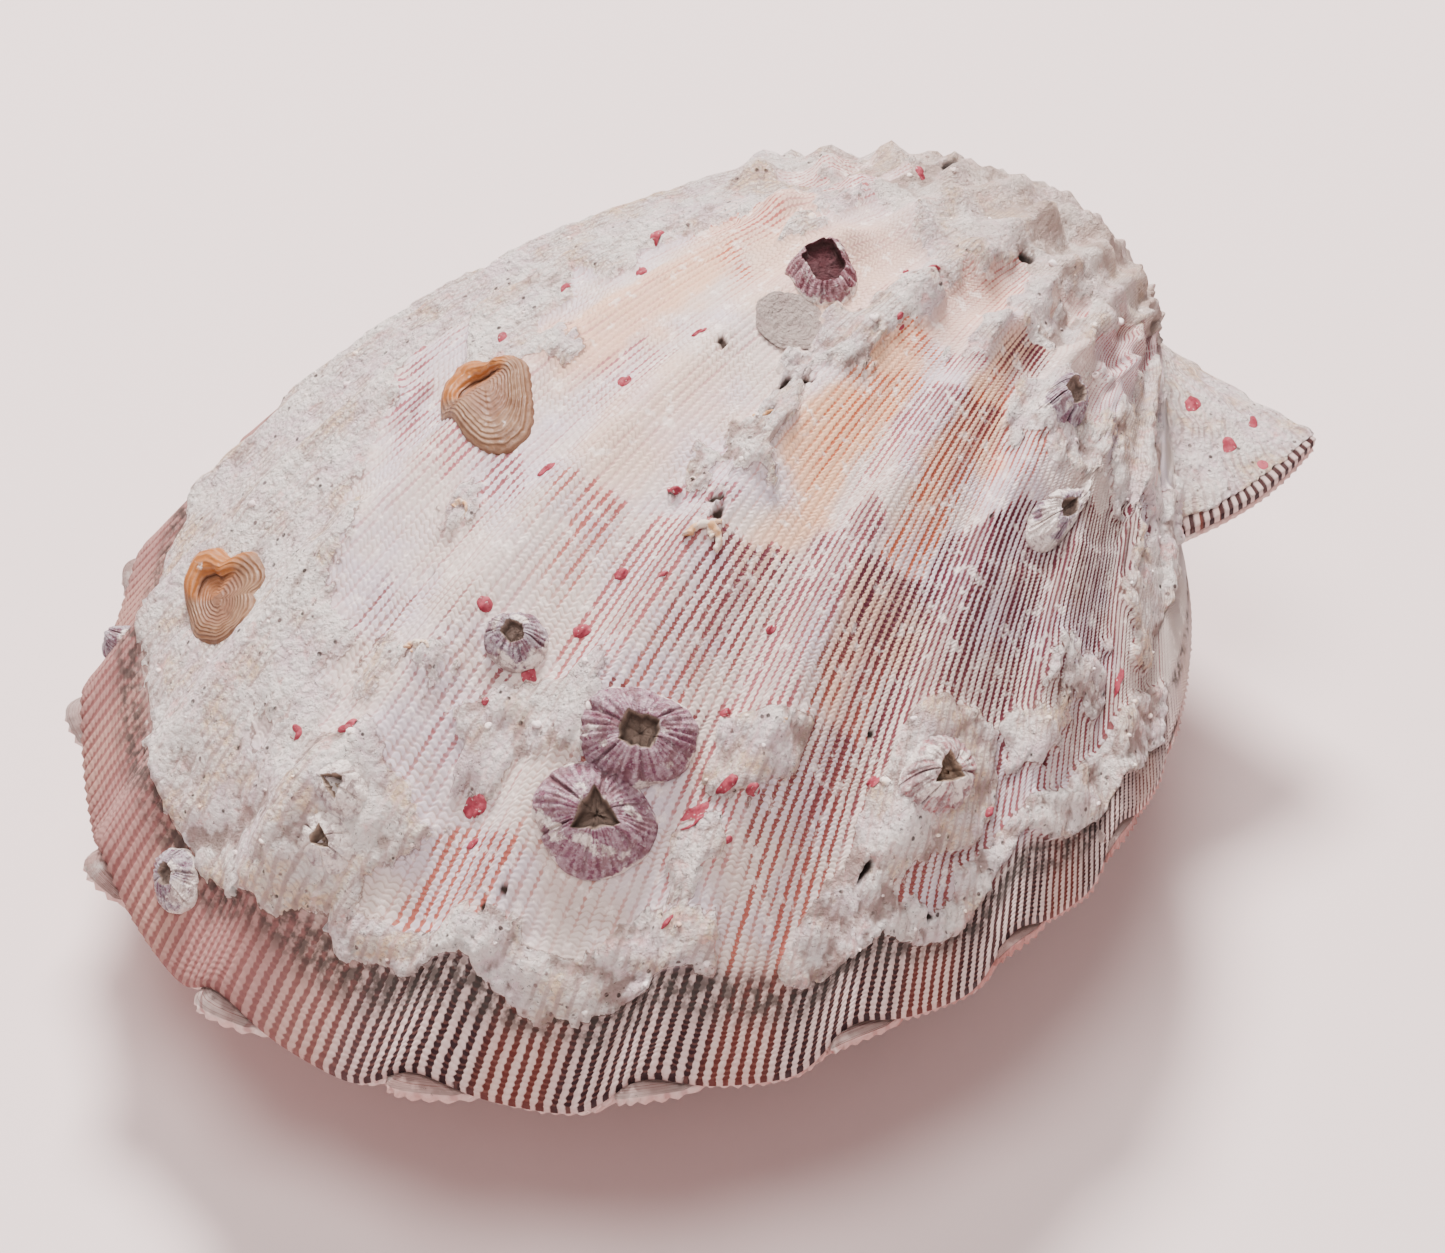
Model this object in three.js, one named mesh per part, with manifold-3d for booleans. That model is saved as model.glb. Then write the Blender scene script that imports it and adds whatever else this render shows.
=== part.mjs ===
// A closed lion paw scallop: two ribbed valves that meet along a wavy margin, with the acorn
// barnacles and the two small cup shells that grew on the upper valve. It lies at rest on the
// lower valve, hinge at the back (+Y), margin in front (-Y). Millimetres, +Z up.
import * as THREE from 'three';
import { mergeVertices } from 'three/addons/utils/BufferGeometryUtils.js';
import Module from 'manifold-3d';

// Driving dimensions of a valve, in millimetres and degrees. In the shell's own frame the
// middle of the hinge is the origin and the hinge line runs along X.
const HEIGHT = 140;
const DISC_HALF_WIDTH = 58.8;
const DISC_HALF_LENGTH = 63.4;
const DISC_FAN = 53.5;
const NOTCH = { fan: 54.6, x: 31.4, y: 22.4 };
const EAR_TIP = { fan: 76, x: 32.6 };
const EAR_BULGE = 1.6;

// How a valve rises from the margin as it is followed back to the beak. The lower valve is the
// flatter one, and its rim stands out as a ledge under each arch of the upper rim.
const UPPER = { side: 1, coil: 0.37, lean: 0.68, ledge: 0 };
const LOWER = { side: -1, coil: 0.16, lean: 0.64, ledge: 2.4 };

// Ribs: crests of the upper valve stand over grooves of the lower one. Lean sets each crest a
// little towards the left of its rib, in radians.
const RIB_PITCH = 9.9;
const RIB_REACH = 67.4;
const RIB_SHIFT = 0.343;
const RIB_RISE = 2.3;
const RIB_LEAN = 1.1;
const RIB_FADE = { from: 44, to: 52 };

// Walls.
const LIP = 1;
const HALF_GAP = 0.15;
const RIM_SHARE = 0.955;
const DOME_SHARE = 0.92;
const INNER_CENTRE_Y = -70;

// Lime crust on the upper valve: a sheet that ends in a ledge near the margin, and lumps on it.
const CRUST = { thickness: 1.1, edge: 0.945, ledge: 0.012 };
const CRUST_LUMPS = { count: 110, radius: 3.4, height: 1.5 };
const MOUNDS = [
  { fan: 0.9, growth: 0.883, radius: 5, height: 2.4 },
  { fan: 1.5, growth: 0.917, radius: 5.6, height: 2.6 },
  { fan: -3, growth: 0.86, radius: 7, height: 1.4 },
  { fan: 33, growth: 0.56, radius: 6, height: 1.6 },
  { fan: 29, growth: 0.87, radius: 5, height: 1.2 },
  { fan: 17, growth: 0.915, radius: 6, height: 1.2 },
];
const KNOBS = { growth: 0.42, step: 0.86, rows: 7, height: 2, radius: 2.8 };
const LOWER_SCALES = { growth: 0.96, step: 0.9, rows: 9, height: 0.9, radius: 4 };

// How the shell rests: tilted a little towards the margin on a patch worn at its lowest ribs.
const REST_TILT = 4.6;
const HINGE_AT = { x: -0.3, y: 69.9, z: 35.5 };
const SEAT_GAP = 0.3;

// Attached animals, placed by fan angle and growth on the upper valve. Lean is how far the
// mouth of a barnacle is set towards the beak.
const BARNACLES = [
  { name: 'barnacle_striped', fan: 14.7, growth: 0.787, radius: 5.5, height: 3.2, mouth: 2.1, corners: 5, lean: 0.5 },
  { name: 'barnacle_mottled', fan: 14.6, growth: 0.84, radius: 5.7, height: 3.1, mouth: 2.6, corners: 3, lean: 0.8 },
  { name: 'barnacle_small', fan: 5.9, growth: 0.753, radius: 3.2, height: 2.2, mouth: 1.2, corners: 5, lean: 0.6 },
  { name: 'barnacle_chipped', fan: 30.8, growth: 0.829, radius: 4.5, height: 2.5, mouth: 1.8, corners: 4, lean: 0.4 },
  { name: 'barnacle_beak', fan: 30.7, growth: 0.48, radius: 3.9, height: 1.5, mouth: 1.9, corners: 5, lean: 0.9 },
  { name: 'barnacle_flank', fan: 34.2, growth: 0.598, radius: 4, height: 2, mouth: 1.6, corners: 4, lean: 0.8 },
  { name: 'barnacle_broken', fan: 3.3, growth: 0.448, radius: 3.9, height: 1.8, mouth: 2.4, corners: 6, lean: 0 },
  { name: 'barnacle_edge', fan: -3.6, growth: 0.964, radius: 3.2, height: 2, mouth: 1.2, corners: 5, lean: 0.5 },
  { name: 'barnacle_dark', fan: -19, growth: 0.965, radius: 2.4, height: 1.8, mouth: 0.9, corners: 4, lean: 0.2 },
  { name: 'barnacle_overgrown_1', fan: 2.9, growth: 0.875, radius: 3, height: 2.4, mouth: 1.3, corners: 4, lean: 0.4 },
  { name: 'barnacle_overgrown_2', fan: 3.6, growth: 0.9, radius: 3, height: 2.4, mouth: 1.2, corners: 3, lean: 0.4 },
];
const CUP_SHELLS = [
  { name: 'cup_shell_1', fan: -8.3, growth: 0.656, length: 8, width: 4.9, height: 1.9, turn: 4 },
  { name: 'cup_shell_2', fan: -13.2, growth: 0.86, length: 8, width: 4.2, height: 1.9, turn: 27 },
];
const SKIRT = 3;

const rad = THREE.MathUtils.degToRad;
const mix = THREE.MathUtils.lerp;
const smooth = (x, a, b) => THREE.MathUtils.smoothstep(a < b ? x : a + b - x, Math.min(a, b), Math.max(a, b));
const fraction = x => x - Math.floor(x);

// Rib number at a fan angle, whole on every crest of the upper valve, and the way back.
const ribAt = fan => (RIB_REACH / RIB_PITCH) * Math.atanh(fan / RIB_REACH) - RIB_SHIFT;
const fanAt = rib => RIB_REACH * Math.tanh(((rib + RIB_SHIFT) * RIB_PITCH) / RIB_REACH);

// Distance from the hinge to the rim of the disc, which is an ellipse in plan.
function discRadius(fan) {
  const centre = HEIGHT - DISC_HALF_LENGTH;
  const across = Math.sin(rad(fan)) / DISC_HALF_WIDTH;
  const along = Math.cos(rad(fan)) / DISC_HALF_LENGTH;
  const a = across ** 2 + along ** 2;
  const b = (-2 * Math.cos(rad(fan)) * centre) / DISC_HALF_LENGTH ** 2;
  const c = (centre / DISC_HALF_LENGTH) ** 2 - 1;
  return (-b + Math.sqrt(Math.max(b * b - 4 * a * c, 0))) / (2 * a);
}

// Height of the ribs across the shell, from -1 in a groove to 1 on a crest.
function ribWave(fan) {
  const turn = 2 * Math.PI * ribAt(fan);
  return Math.cos(turn + (RIB_LEAN * (1 + Math.cos(turn))) / 2);
}

// The margin where the valves meet, at a signed fan angle: disc, notch, then ear to its tip.
function margin(fan) {
  const f = Math.abs(fan);
  const sign = Math.sign(fan);
  if (f <= DISC_FAN) {
    const r = discRadius(f);
    const wave = ribWave(fan) * smooth(f, RIB_FADE.to, RIB_FADE.from);
    return {
      x: sign * r * Math.sin(rad(f)),
      y: -r * Math.cos(rad(f)),
      rise: RIB_RISE * wave,
      arch: Math.max(wave, 0),
    };
  }
  const r = discRadius(DISC_FAN);
  const corner = { x: r * Math.sin(rad(DISC_FAN)), y: -r * Math.cos(rad(DISC_FAN)) };
  if (f <= NOTCH.fan) {
    const t = (f - DISC_FAN) / (NOTCH.fan - DISC_FAN);
    return { x: sign * mix(corner.x, NOTCH.x, t), y: mix(corner.y, -NOTCH.y, t), rise: 0, arch: 0 };
  }
  const t = (f - NOTCH.fan) / (EAR_TIP.fan - NOTCH.fan);
  const bulge = EAR_BULGE * Math.sin(Math.PI * t);
  return { x: sign * (mix(NOTCH.x, EAR_TIP.x, t) + bulge), y: -NOTCH.y * (1 - t), rise: 0, arch: 0 };
}

// How far a valve's rim reaches, against the shared margin.
const reachOf = (valve, m) => 1 + (valve.ledge * m.arch) / HEIGHT;

// A point of a valve's bare outer surface: the margin scaled by growth and turned on the hinge.
// Ribs is 1, or 0 for the smooth form beneath them.
function barePoint(valve, fan, growth, ribs = 1) {
  const m = margin(fan);
  const turn = valve.coil * Math.log(1 / growth) + valve.lean * (1 - growth);
  const reach = reachOf(valve, m);
  const y = reach * m.y;
  const rise = valve.side * m.rise * ribs;
  return new THREE.Vector3(
    growth * reach * m.x,
    growth * (y * Math.cos(turn) + rise * Math.sin(turn)),
    valve.side * (growth * (rise * Math.cos(turn) - y * Math.sin(turn)) + LIP),
  );
}

// The outward direction of the smooth form.
function outward(valve, fan, growth) {
  const f = THREE.MathUtils.clamp(fan, -DISC_FAN + 0.5, DISC_FAN - 0.5);
  const g = Math.min(growth, 0.985);
  const along = barePoint(valve, f, g + 0.01, 0).sub(barePoint(valve, f, g - 0.01, 0));
  const across = barePoint(valve, f + 0.4, g, 0).sub(barePoint(valve, f - 0.4, g, 0));
  return along.cross(across).normalize().multiplyScalar(valve.side);
}

// A smooth round swelling around a place, measured across the surface in millimetres.
function swelling(fan, growth, lump) {
  const across = rad(fan - lump.fan) * growth * HEIGHT;
  const along = (growth - lump.growth) * HEIGHT * 1.15;
  const d = (across ** 2 + along ** 2) / lump.radius ** 2;
  return d > 6 ? 0 : lump.height * Math.exp(-d * 1.4);
}

// Where the lime crust covers the upper valve, from 0 to 1.
function crustCover(fan, growth) {
  const edge = CRUST.edge + CRUST.ledge * Math.sin(0.9 * fan) + 0.006 * Math.sin(0.37 * fan + 1);
  const inside = smooth(growth, edge + 0.006, edge - 0.012);
  const band = smooth(growth, 0.82, 0.9);
  const left = smooth(fan, 8, -6);
  const top = smooth(growth, 0.46, 0.3);
  return inside * Math.max(band, left, top * 0.8) * smooth(Math.abs(fan), 52, 46);
}

const crustLumps = Array.from({ length: CRUST_LUMPS.count }, (_, i) => ({
  fan: 98 * fraction(0.618034 * i + 0.3) - 49,
  growth: 0.2 + 0.72 * fraction(0.754878 * i + 0.1),
  radius: CRUST_LUMPS.radius * (0.7 + 0.6 * fraction(0.569840 * i)),
  height: CRUST_LUMPS.height * (0.5 + fraction(0.819173 * i)),
}));

// Knobs in rows along the rib crests, smaller towards the beak.
function crestKnobs(rows, crest) {
  const knobs = [];
  for (let row = 0; row < rows.rows; row++) {
    const growth = rows.growth * rows.step ** row;
    const size = growth / rows.growth;
    for (let rib = -6; rib <= 6; rib++) {
      const fan = fanAt(rib + crest + (row % 2 ? 0.12 : -0.12));
      knobs.push({ fan, growth, radius: rows.radius * size, height: rows.height * size });
    }
  }
  return knobs.filter(knob => Math.abs(knob.fan) < 46);
}

const upperKnobs = crestKnobs(KNOBS, -0.14);
const lowerScales = crestKnobs(LOWER_SCALES, 0.5);

// How far crust, lumps and knobs lift the outer surface.
function relief(valve, fan, growth) {
  const sum = lumps => lumps.reduce((total, lump) => total + swelling(fan, growth, lump), 0);
  if (valve === LOWER) return sum(lowerScales) * smooth(growth, 1, 0.985);
  const cover = crustCover(fan, growth);
  return cover * (CRUST.thickness + sum(crustLumps)) + sum(MOUNDS) + sum(upperKnobs);
}

function outerPoint(valve, fan, growth) {
  const point = barePoint(valve, fan, growth);
  if (Math.abs(fan) > DISC_FAN || growth === 1) return point;
  return point.addScaledVector(outward(valve, fan, growth), relief(valve, fan, growth));
}

// The inner surface: the bare surface without its ledge, drawn in towards the middle of the
// shell.
function innerPoint(valve, fan, growth) {
  const bare = barePoint({ ...valve, ledge: 0 }, fan, growth);
  const share = mix(DOME_SHARE, 1, growth ** 8);
  const z = valve.side * HALF_GAP + (bare.z - valve.side * LIP) * share;
  return new THREE.Vector3(bare.x * RIM_SHARE, INNER_CENTRE_Y + (bare.y - INNER_CENTRE_Y) * RIM_SHARE, z);
}

// Fan angles of the columns of a ring, with a given number to each rib and each ear.
function columns(perRib, perEar) {
  const fans = [-EAR_TIP.fan];
  for (let i = perEar - 1; i > 0; i--) fans.push(-mix(NOTCH.fan, EAR_TIP.fan, i / perEar));
  fans.push(-NOTCH.fan, -DISC_FAN);
  const last = Math.floor(ribAt(DISC_FAN - 0.8) * perRib);
  for (let i = Math.ceil(ribAt(0.8 - DISC_FAN) * perRib); i <= last; i++) fans.push(fanAt(i / perRib));
  fans.push(DISC_FAN, NOTCH.fan);
  for (let i = 1; i <= perEar; i++) fans.push(mix(NOTCH.fan, EAR_TIP.fan, i / perEar));
  return fans;
}

const FINE = columns(6, 3);
const MEDIUM = columns(4, 2);
const COARSE = columns(2, 1);

// Growth of the outer rings, closer together near the margin and finely spaced at the ledge.
const RINGS = {
  upper: [0.04, 0.07, 0.11, 0.16, 0.21, 0.26, 0.31, 0.36, 0.41, 0.47, 0.53, 0.59, 0.65, 0.71, 0.77, 0.82, 0.86, 0.9, 0.93, 0.96, 1],
  lower: [0.04, 0.08, 0.14, 0.21, 0.28, 0.36, 0.44, 0.52, 0.6, 0.68, 0.76, 0.84, 0.92, 1],
  inner: [0.12, 0.3, 0.5, 0.7, 0.87, 1],
};

// Collects vertices and triangles of one closed skin. A place that is already there is used
// again, so that lines that run together share their vertices.
class Skin {
  positions = [];
  triangles = [];
  places = new Map();

  add(point) {
    const place = [point.x, point.y, point.z].map(value => Math.round(value * 1e4)).join();
    if (!this.places.has(place)) {
      this.places.set(place, this.positions.length / 3);
      this.positions.push(point.x, point.y, point.z);
    }
    return this.places.get(place);
  }

  // A line of vertices, each with its place t along the line.
  line(points, places) {
    return points.map((point, i) => ({ index: this.add(point), t: places[i] }));
  }

  // Fills the strip between two lines whose places run the same way.
  zip(a, b) {
    let i = 0;
    let j = 0;
    while (i < a.length - 1 || j < b.length - 1) {
      const stepA = j === b.length - 1 || (i < a.length - 1 && a[i + 1].t <= b[j + 1].t);
      if (stepA) this.face(a[i].index, a[i + 1].index, b[j].index);
      else this.face(a[i].index, b[j + 1].index, b[j].index);
      if (stepA) i++;
      else j++;
    }
  }

  face(a, b, c) {
    if (a !== b && b !== c && c !== a) this.triangles.push(a, b, c);
  }

  // Fills between a line and one point.
  cap(line, apex) {
    for (let i = 0; i < line.length - 1; i++) this.face(line[i + 1].index, line[i].index, apex);
  }

  geometry() {
    const geometry = new THREE.BufferGeometry();
    geometry.setAttribute('position', new THREE.Float32BufferAttribute(this.positions, 3));
    geometry.setIndex(this.triangles);
    return outwardFacing(geometry);
  }
}

// Turns the faces round where they point into the solid.
function outwardFacing(geometry) {
  const p = geometry.getAttribute('position');
  const index = geometry.getIndex();
  const corner = i => new THREE.Vector3().fromBufferAttribute(p, index.getX(i));
  let volume = 0;
  for (let i = 0; i < index.count; i += 3) volume += corner(i).dot(corner(i + 1).cross(corner(i + 2)));
  if (volume > 0) return geometry;
  for (let i = 0; i < index.count; i += 3) {
    const first = index.getX(i);
    index.setX(i, index.getX(i + 1));
    index.setX(i + 1, first);
  }
  return geometry;
}

const last = list => list[list.length - 1];
const columnsFor = growth => (growth > 0.44 ? FINE : growth > 0.15 ? MEDIUM : COARSE);

// One side of a valve as rings from the beak to the margin, closed at the beak by a pole. The
// inner side faces the other way, so its strips are filled in the reverse order.
function side(skin, rings, fansFor, pointAt, pole, inside = false) {
  const lines = rings.map(growth => {
    const fans = fansFor(growth);
    return skin.line(fans.map(fan => pointAt(fan, growth)), fans);
  });
  const poleIndex = skin.add(pole);
  skin.cap(inside ? [...lines[0]].reverse() : lines[0], poleIndex);
  for (let i = 0; i < lines.length - 1; i++) {
    if (inside) skin.zip(lines[i + 1], lines[i]);
    else skin.zip(lines[i], lines[i + 1]);
  }
  const start = { index: poleIndex, t: 0 };
  const hinge = pick => [start, ...lines.map((line, i) => ({ index: pick(line).index, t: rings[i] }))];
  return { rim: last(lines), left: hinge(line => line[0]), right: hinge(last) };
}

// The whole valve: outer side, inner side, and the face that meets the other valve.
function valveSkin(valve, rings) {
  const skin = new Skin();
  const z = valve.side * HALF_GAP;
  const outer = side(skin, rings, columnsFor, (fan, growth) => outerPoint(valve, fan, growth), {
    x: 0, y: 0, z: valve.side * LIP,
  });
  const inner = side(skin, RINGS.inner, () => MEDIUM, (fan, growth) => innerPoint(valve, fan, growth), {
    x: 0, y: INNER_CENTRE_Y * (1 - RIM_SHARE), z,
  }, true);
  const onFace = (fan, reach) => {
    const m = margin(fan);
    return new THREE.Vector3(reach(m) * m.x, reach(m) * m.y, m.rise + z);
  };
  const edge = skin.line(FINE.map(fan => onFace(fan, m => reachOf(valve, m))), FINE);
  const seat = skin.line(FINE.map(fan => onFace(fan, () => 1)), FINE);
  const pole = { index: skin.add({ x: 0, y: 0, z }), t: 0 };
  const hingeEdge = (sign, end) => {
    const tip = sign * barePoint(valve, EAR_TIP.fan, 1).x;
    const points = rings.slice(0, -1).map(growth => new THREE.Vector3(growth * tip, 0, z));
    return [pole, ...skin.line(points, rings.slice(0, -1)), { index: end.index, t: 1 }];
  };
  const left = hingeEdge(-1, edge[0]);
  const right = hingeEdge(1, last(edge));
  skin.zip(outer.rim, edge);
  skin.zip(edge, seat);
  skin.zip(seat, inner.rim);
  skin.zip(outer.left, left);
  skin.zip(left, inner.left);
  skin.zip(right, outer.right);
  skin.zip(inner.right, right);
  return skin.geometry();
}

// A closed form of rings around the Z axis, given by its rings from the bottom to the inside.
function ringForm(rings, bottom, top, segments) {
  const skin = new Skin();
  const angles = Array.from({ length: segments }, (_, i) => (2 * Math.PI * i) / segments);
  const lines = rings.map(ring => {
    const line = skin.line(angles.map(ring), angles);
    return [...line, { index: line[0].index, t: 2 * Math.PI }];
  });
  skin.cap([...lines[0]].reverse(), skin.add(bottom));
  for (let i = 0; i < lines.length - 1; i++) skin.zip(lines[i + 1], lines[i]);
  skin.cap(last(lines), skin.add(top));
  return skin.geometry();
}

// Radius of a polygon with rounded-off sides, against its corner radius.
function polygonShare(angle, corners) {
  const sector = (2 * Math.PI) / corners;
  const off = fraction(angle / sector) * sector - sector / 2;
  return mix(Math.cos(sector / 2) / Math.cos(off), 1, 0.25);
}

// An acorn barnacle: a ribbed cone around a sunk mouth, with a skirt below the seat.
function barnacleForm({ radius, height, mouth, corners, lean }, extra = 0) {
  const segments = radius > 5 ? 18 : 12;
  const at = (r, angle, z, shift) => new THREE.Vector3(r * Math.cos(angle), r * Math.sin(angle) + shift, z);
  const ridge = angle => 1 + 0.05 * Math.cos((segments / 2) * angle);
  const foot = angle => at((radius + extra) * ridge(angle), angle, -SKIRT, 0);
  const hip = angle => at((radius * 0.97 + extra) * ridge(angle), angle, 0.35, 0);
  const flank = angle => at((mix(radius, mouth, 0.55) + extra) * ridge(angle), angle, height * 0.68 + extra, lean * 0.6);
  const rim = angle => at(mouth * polygonShare(angle, corners), angle, height + extra, lean);
  const throat = angle => at(mouth * 0.72 * polygonShare(angle, corners), angle, height * 0.4, lean);
  const bottom = new THREE.Vector3(0, 0, -SKIRT);
  const floor = new THREE.Vector3(0, lean, height * 0.3);
  return ringForm([foot, hip, flank, rim, throat], bottom, floor, segments);
}

// A small cup shell: an oval with a lip raised towards the beak and a shallow bowl before it.
function cupForm({ length, width, height }) {
  const at = (share, angle, z, shift) =>
    new THREE.Vector3(length * share * Math.cos(angle), width * share * Math.sin(angle) + shift, z);
  const back = angle => 0.5 + 0.5 * Math.sin(angle);
  const foot = angle => at(1, angle, -SKIRT, 0);
  const hip = angle => at(0.97, angle, 0.25, 0);
  const lip = angle => at(0.74, angle, height * mix(0.4, 1, back(angle)), 0);
  const bowl = angle => at(0.46, angle, height * 0.4, width * 0.08);
  const bottom = new THREE.Vector3(0, 0, -SKIRT);
  const floor = new THREE.Vector3(0, width * 0.08, height * 0.3);
  return ringForm([foot, hip, lip, bowl], bottom, floor, 14);
}

const wasm = await Module();
wasm.setup();

function toSolid(geometry) {
  const plain = geometry.clone();
  plain.deleteAttribute('normal');
  plain.deleteAttribute('uv');
  const merged = mergeVertices(plain, 1e-4);
  return new wasm.Manifold(new wasm.Mesh({
    numProp: 3,
    vertProperties: new Float32Array(merged.getAttribute('position').array),
    triVerts: new Uint32Array(merged.getIndex().array),
  }));
}

function toGeometry(solid) {
  const mesh = solid.getMesh();
  const geometry = new THREE.BufferGeometry();
  geometry.setAttribute('position', new THREE.Float32BufferAttribute(mesh.vertProperties, 3));
  geometry.setIndex(new THREE.Uint32BufferAttribute(mesh.triVerts, 1));
  return geometry;
}

// The largest body of a cut piece, without the crumbs that a cut can leave.
function largest(solid) {
  return solid.decompose().sort((a, b) => b.volume() - a.volume())[0];
}

// From the shell's own frame to how it rests.
const resting = new THREE.Matrix4()
  .makeTranslation(HINGE_AT.x, HINGE_AT.y, HINGE_AT.z)
  .multiply(new THREE.Matrix4().makeRotationX(rad(REST_TILT)));

// The frame of a seat: Z out of the surface, Y towards the beak.
function seatMatrix(fan, growth, turn = 0) {
  const origin = outerPoint(UPPER, fan, growth);
  const z = outward(UPPER, fan, growth);
  const toBeak = barePoint(UPPER, fan, growth - 0.01).sub(barePoint(UPPER, fan, growth + 0.01));
  const x = toBeak.cross(z).normalize();
  const y = z.clone().cross(x);
  const frame = new THREE.Matrix4().makeBasis(x, y, z).setPosition(origin);
  return resting.clone().multiply(frame).multiply(new THREE.Matrix4().makeRotationZ(rad(turn)));
}

const outwardAt = matrix => new THREE.Vector3().setFromMatrixColumn(matrix, 2).multiplyScalar(SEAT_GAP);

// A piece set on the upper valve, cut to the surface that it grew on and to its neighbours.
function seated(form, matrix, valve, neighbours) {
  const gap = outwardAt(matrix);
  const lifted = toSolid(valve.clone().translate(gap.x, gap.y, gap.z));
  let solid = toSolid(form.applyMatrix4(matrix)).subtract(lifted);
  for (const neighbour of neighbours) solid = solid.subtract(neighbour);
  return toGeometry(largest(solid));
}

// The lower valve, worn flat where it touches what it rests on.
function wornFlat(geometry) {
  const ground = new THREE.BoxGeometry(2 * HEIGHT, 2 * HEIGHT, 40).translate(0, 0, -20);
  return toGeometry(toSolid(geometry).subtract(toSolid(ground)));
}

const paint = (color, roughness) => new THREE.MeshStandardMaterial({ color, roughness, metalness: 0 });

function named(name, geometry, material) {
  const mesh = new THREE.Mesh(geometry, material);
  mesh.name = name;
  return mesh;
}

function build() {
  const shell = new THREE.Group();
  const upper = valveSkin(UPPER, RINGS.upper).applyMatrix4(resting);
  const lower = wornFlat(valveSkin(LOWER, RINGS.lower).applyMatrix4(resting));
  shell.add(named('upper_valve', upper, paint(0xd9cfc8, 0.85)));
  shell.add(named('lower_valve', lower, paint(0xd8b4ad, 0.75)));
  const neighbours = [];
  for (const barnacle of BARNACLES) {
    const matrix = seatMatrix(barnacle.fan, barnacle.growth);
    const geometry = seated(barnacleForm(barnacle), matrix, upper, neighbours);
    neighbours.push(toSolid(barnacleForm(barnacle, SEAT_GAP).applyMatrix4(matrix)));
    shell.add(named(barnacle.name, geometry, paint(0x9c7d86, 0.8)));
  }
  for (const cup of CUP_SHELLS) {
    const matrix = seatMatrix(cup.fan, cup.growth, cup.turn);
    shell.add(named(cup.name, seated(cupForm(cup), matrix, upper, []), paint(0xb98a66, 0.6)));
  }
  return shell;
}

export default build();
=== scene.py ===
# The looks of a closed lion paw scallop: ribbed valves with lime crust, barnacles, cup shells,
# small red algae and worm tubes. Lengths are millimetres until a mesh is made, then metres.
# A place on a valve is a fan angle in degrees and a growth, which is 0 at the beak and 1 at
# the margin.
import math
import bmesh
import bpy
import numpy as np
from mathutils import Matrix, Vector


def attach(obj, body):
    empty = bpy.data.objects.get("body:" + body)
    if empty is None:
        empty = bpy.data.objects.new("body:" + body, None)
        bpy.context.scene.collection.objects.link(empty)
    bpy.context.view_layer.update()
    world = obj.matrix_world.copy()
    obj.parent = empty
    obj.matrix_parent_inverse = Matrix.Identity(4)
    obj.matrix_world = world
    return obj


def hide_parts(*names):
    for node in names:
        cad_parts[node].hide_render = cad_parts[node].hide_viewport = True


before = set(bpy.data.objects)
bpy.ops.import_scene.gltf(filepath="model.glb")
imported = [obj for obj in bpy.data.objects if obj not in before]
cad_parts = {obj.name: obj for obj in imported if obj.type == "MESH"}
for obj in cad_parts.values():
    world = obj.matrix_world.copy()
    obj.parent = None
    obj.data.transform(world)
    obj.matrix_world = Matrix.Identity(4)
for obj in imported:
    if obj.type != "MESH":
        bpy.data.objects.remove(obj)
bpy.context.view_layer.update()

# The valves' form, with the same values as the solids.
MM = 0.001
HEIGHT = 140.0
DISC_HALF_WIDTH = 58.8
DISC_HALF_LENGTH = 63.4
DISC_FAN = 53.5
NOTCH_FAN, NOTCH_X, NOTCH_Y = 54.6, 31.4, 22.4
EAR_FAN, EAR_X, EAR_BULGE = 76.0, 32.6, 1.6
UPPER = {"side": 1, "coil": 0.37, "lean": 0.68, "ledge": 0.0}
LOWER = {"side": -1, "coil": 0.16, "lean": 0.64, "ledge": 2.4}
RIB_PITCH, RIB_REACH, RIB_SHIFT, RIB_RISE = 9.9, 67.4, 0.343, 2.3
RIB_LEAN = 1.1
RIB_FADE_FROM, RIB_FADE_TO = 44.0, 52.0
LIP, HALF_GAP = 1.0, 0.15
RIM_RECESS = 1.1
RIM_SHARE, DOME_SHARE, INNER_CENTRE_Y = 0.955, 0.92, -70.0
REST_TILT = 4.6
HINGE_AT = (-0.3, 69.9, 35.5)

# Riblets: seventeen to a rib. The mesh has a whole number of columns to each.
RIBLETS = 17
RIBLET_FIRST, RIBLET_LAST = -130, 119
EAR_CELLS = 17

# The camera of the photograph, round the middle of the hinge.
CAMERA_AZIMUTH, CAMERA_ELEVATION, CAMERA_ROLL = 46.82, 42.242, -0.664
CAMERA_DISTANCE = 429.2
CAMERA_TARGET = (6.57, -69.65, -1.03)
CAMERA_LENS = 97.02

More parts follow.
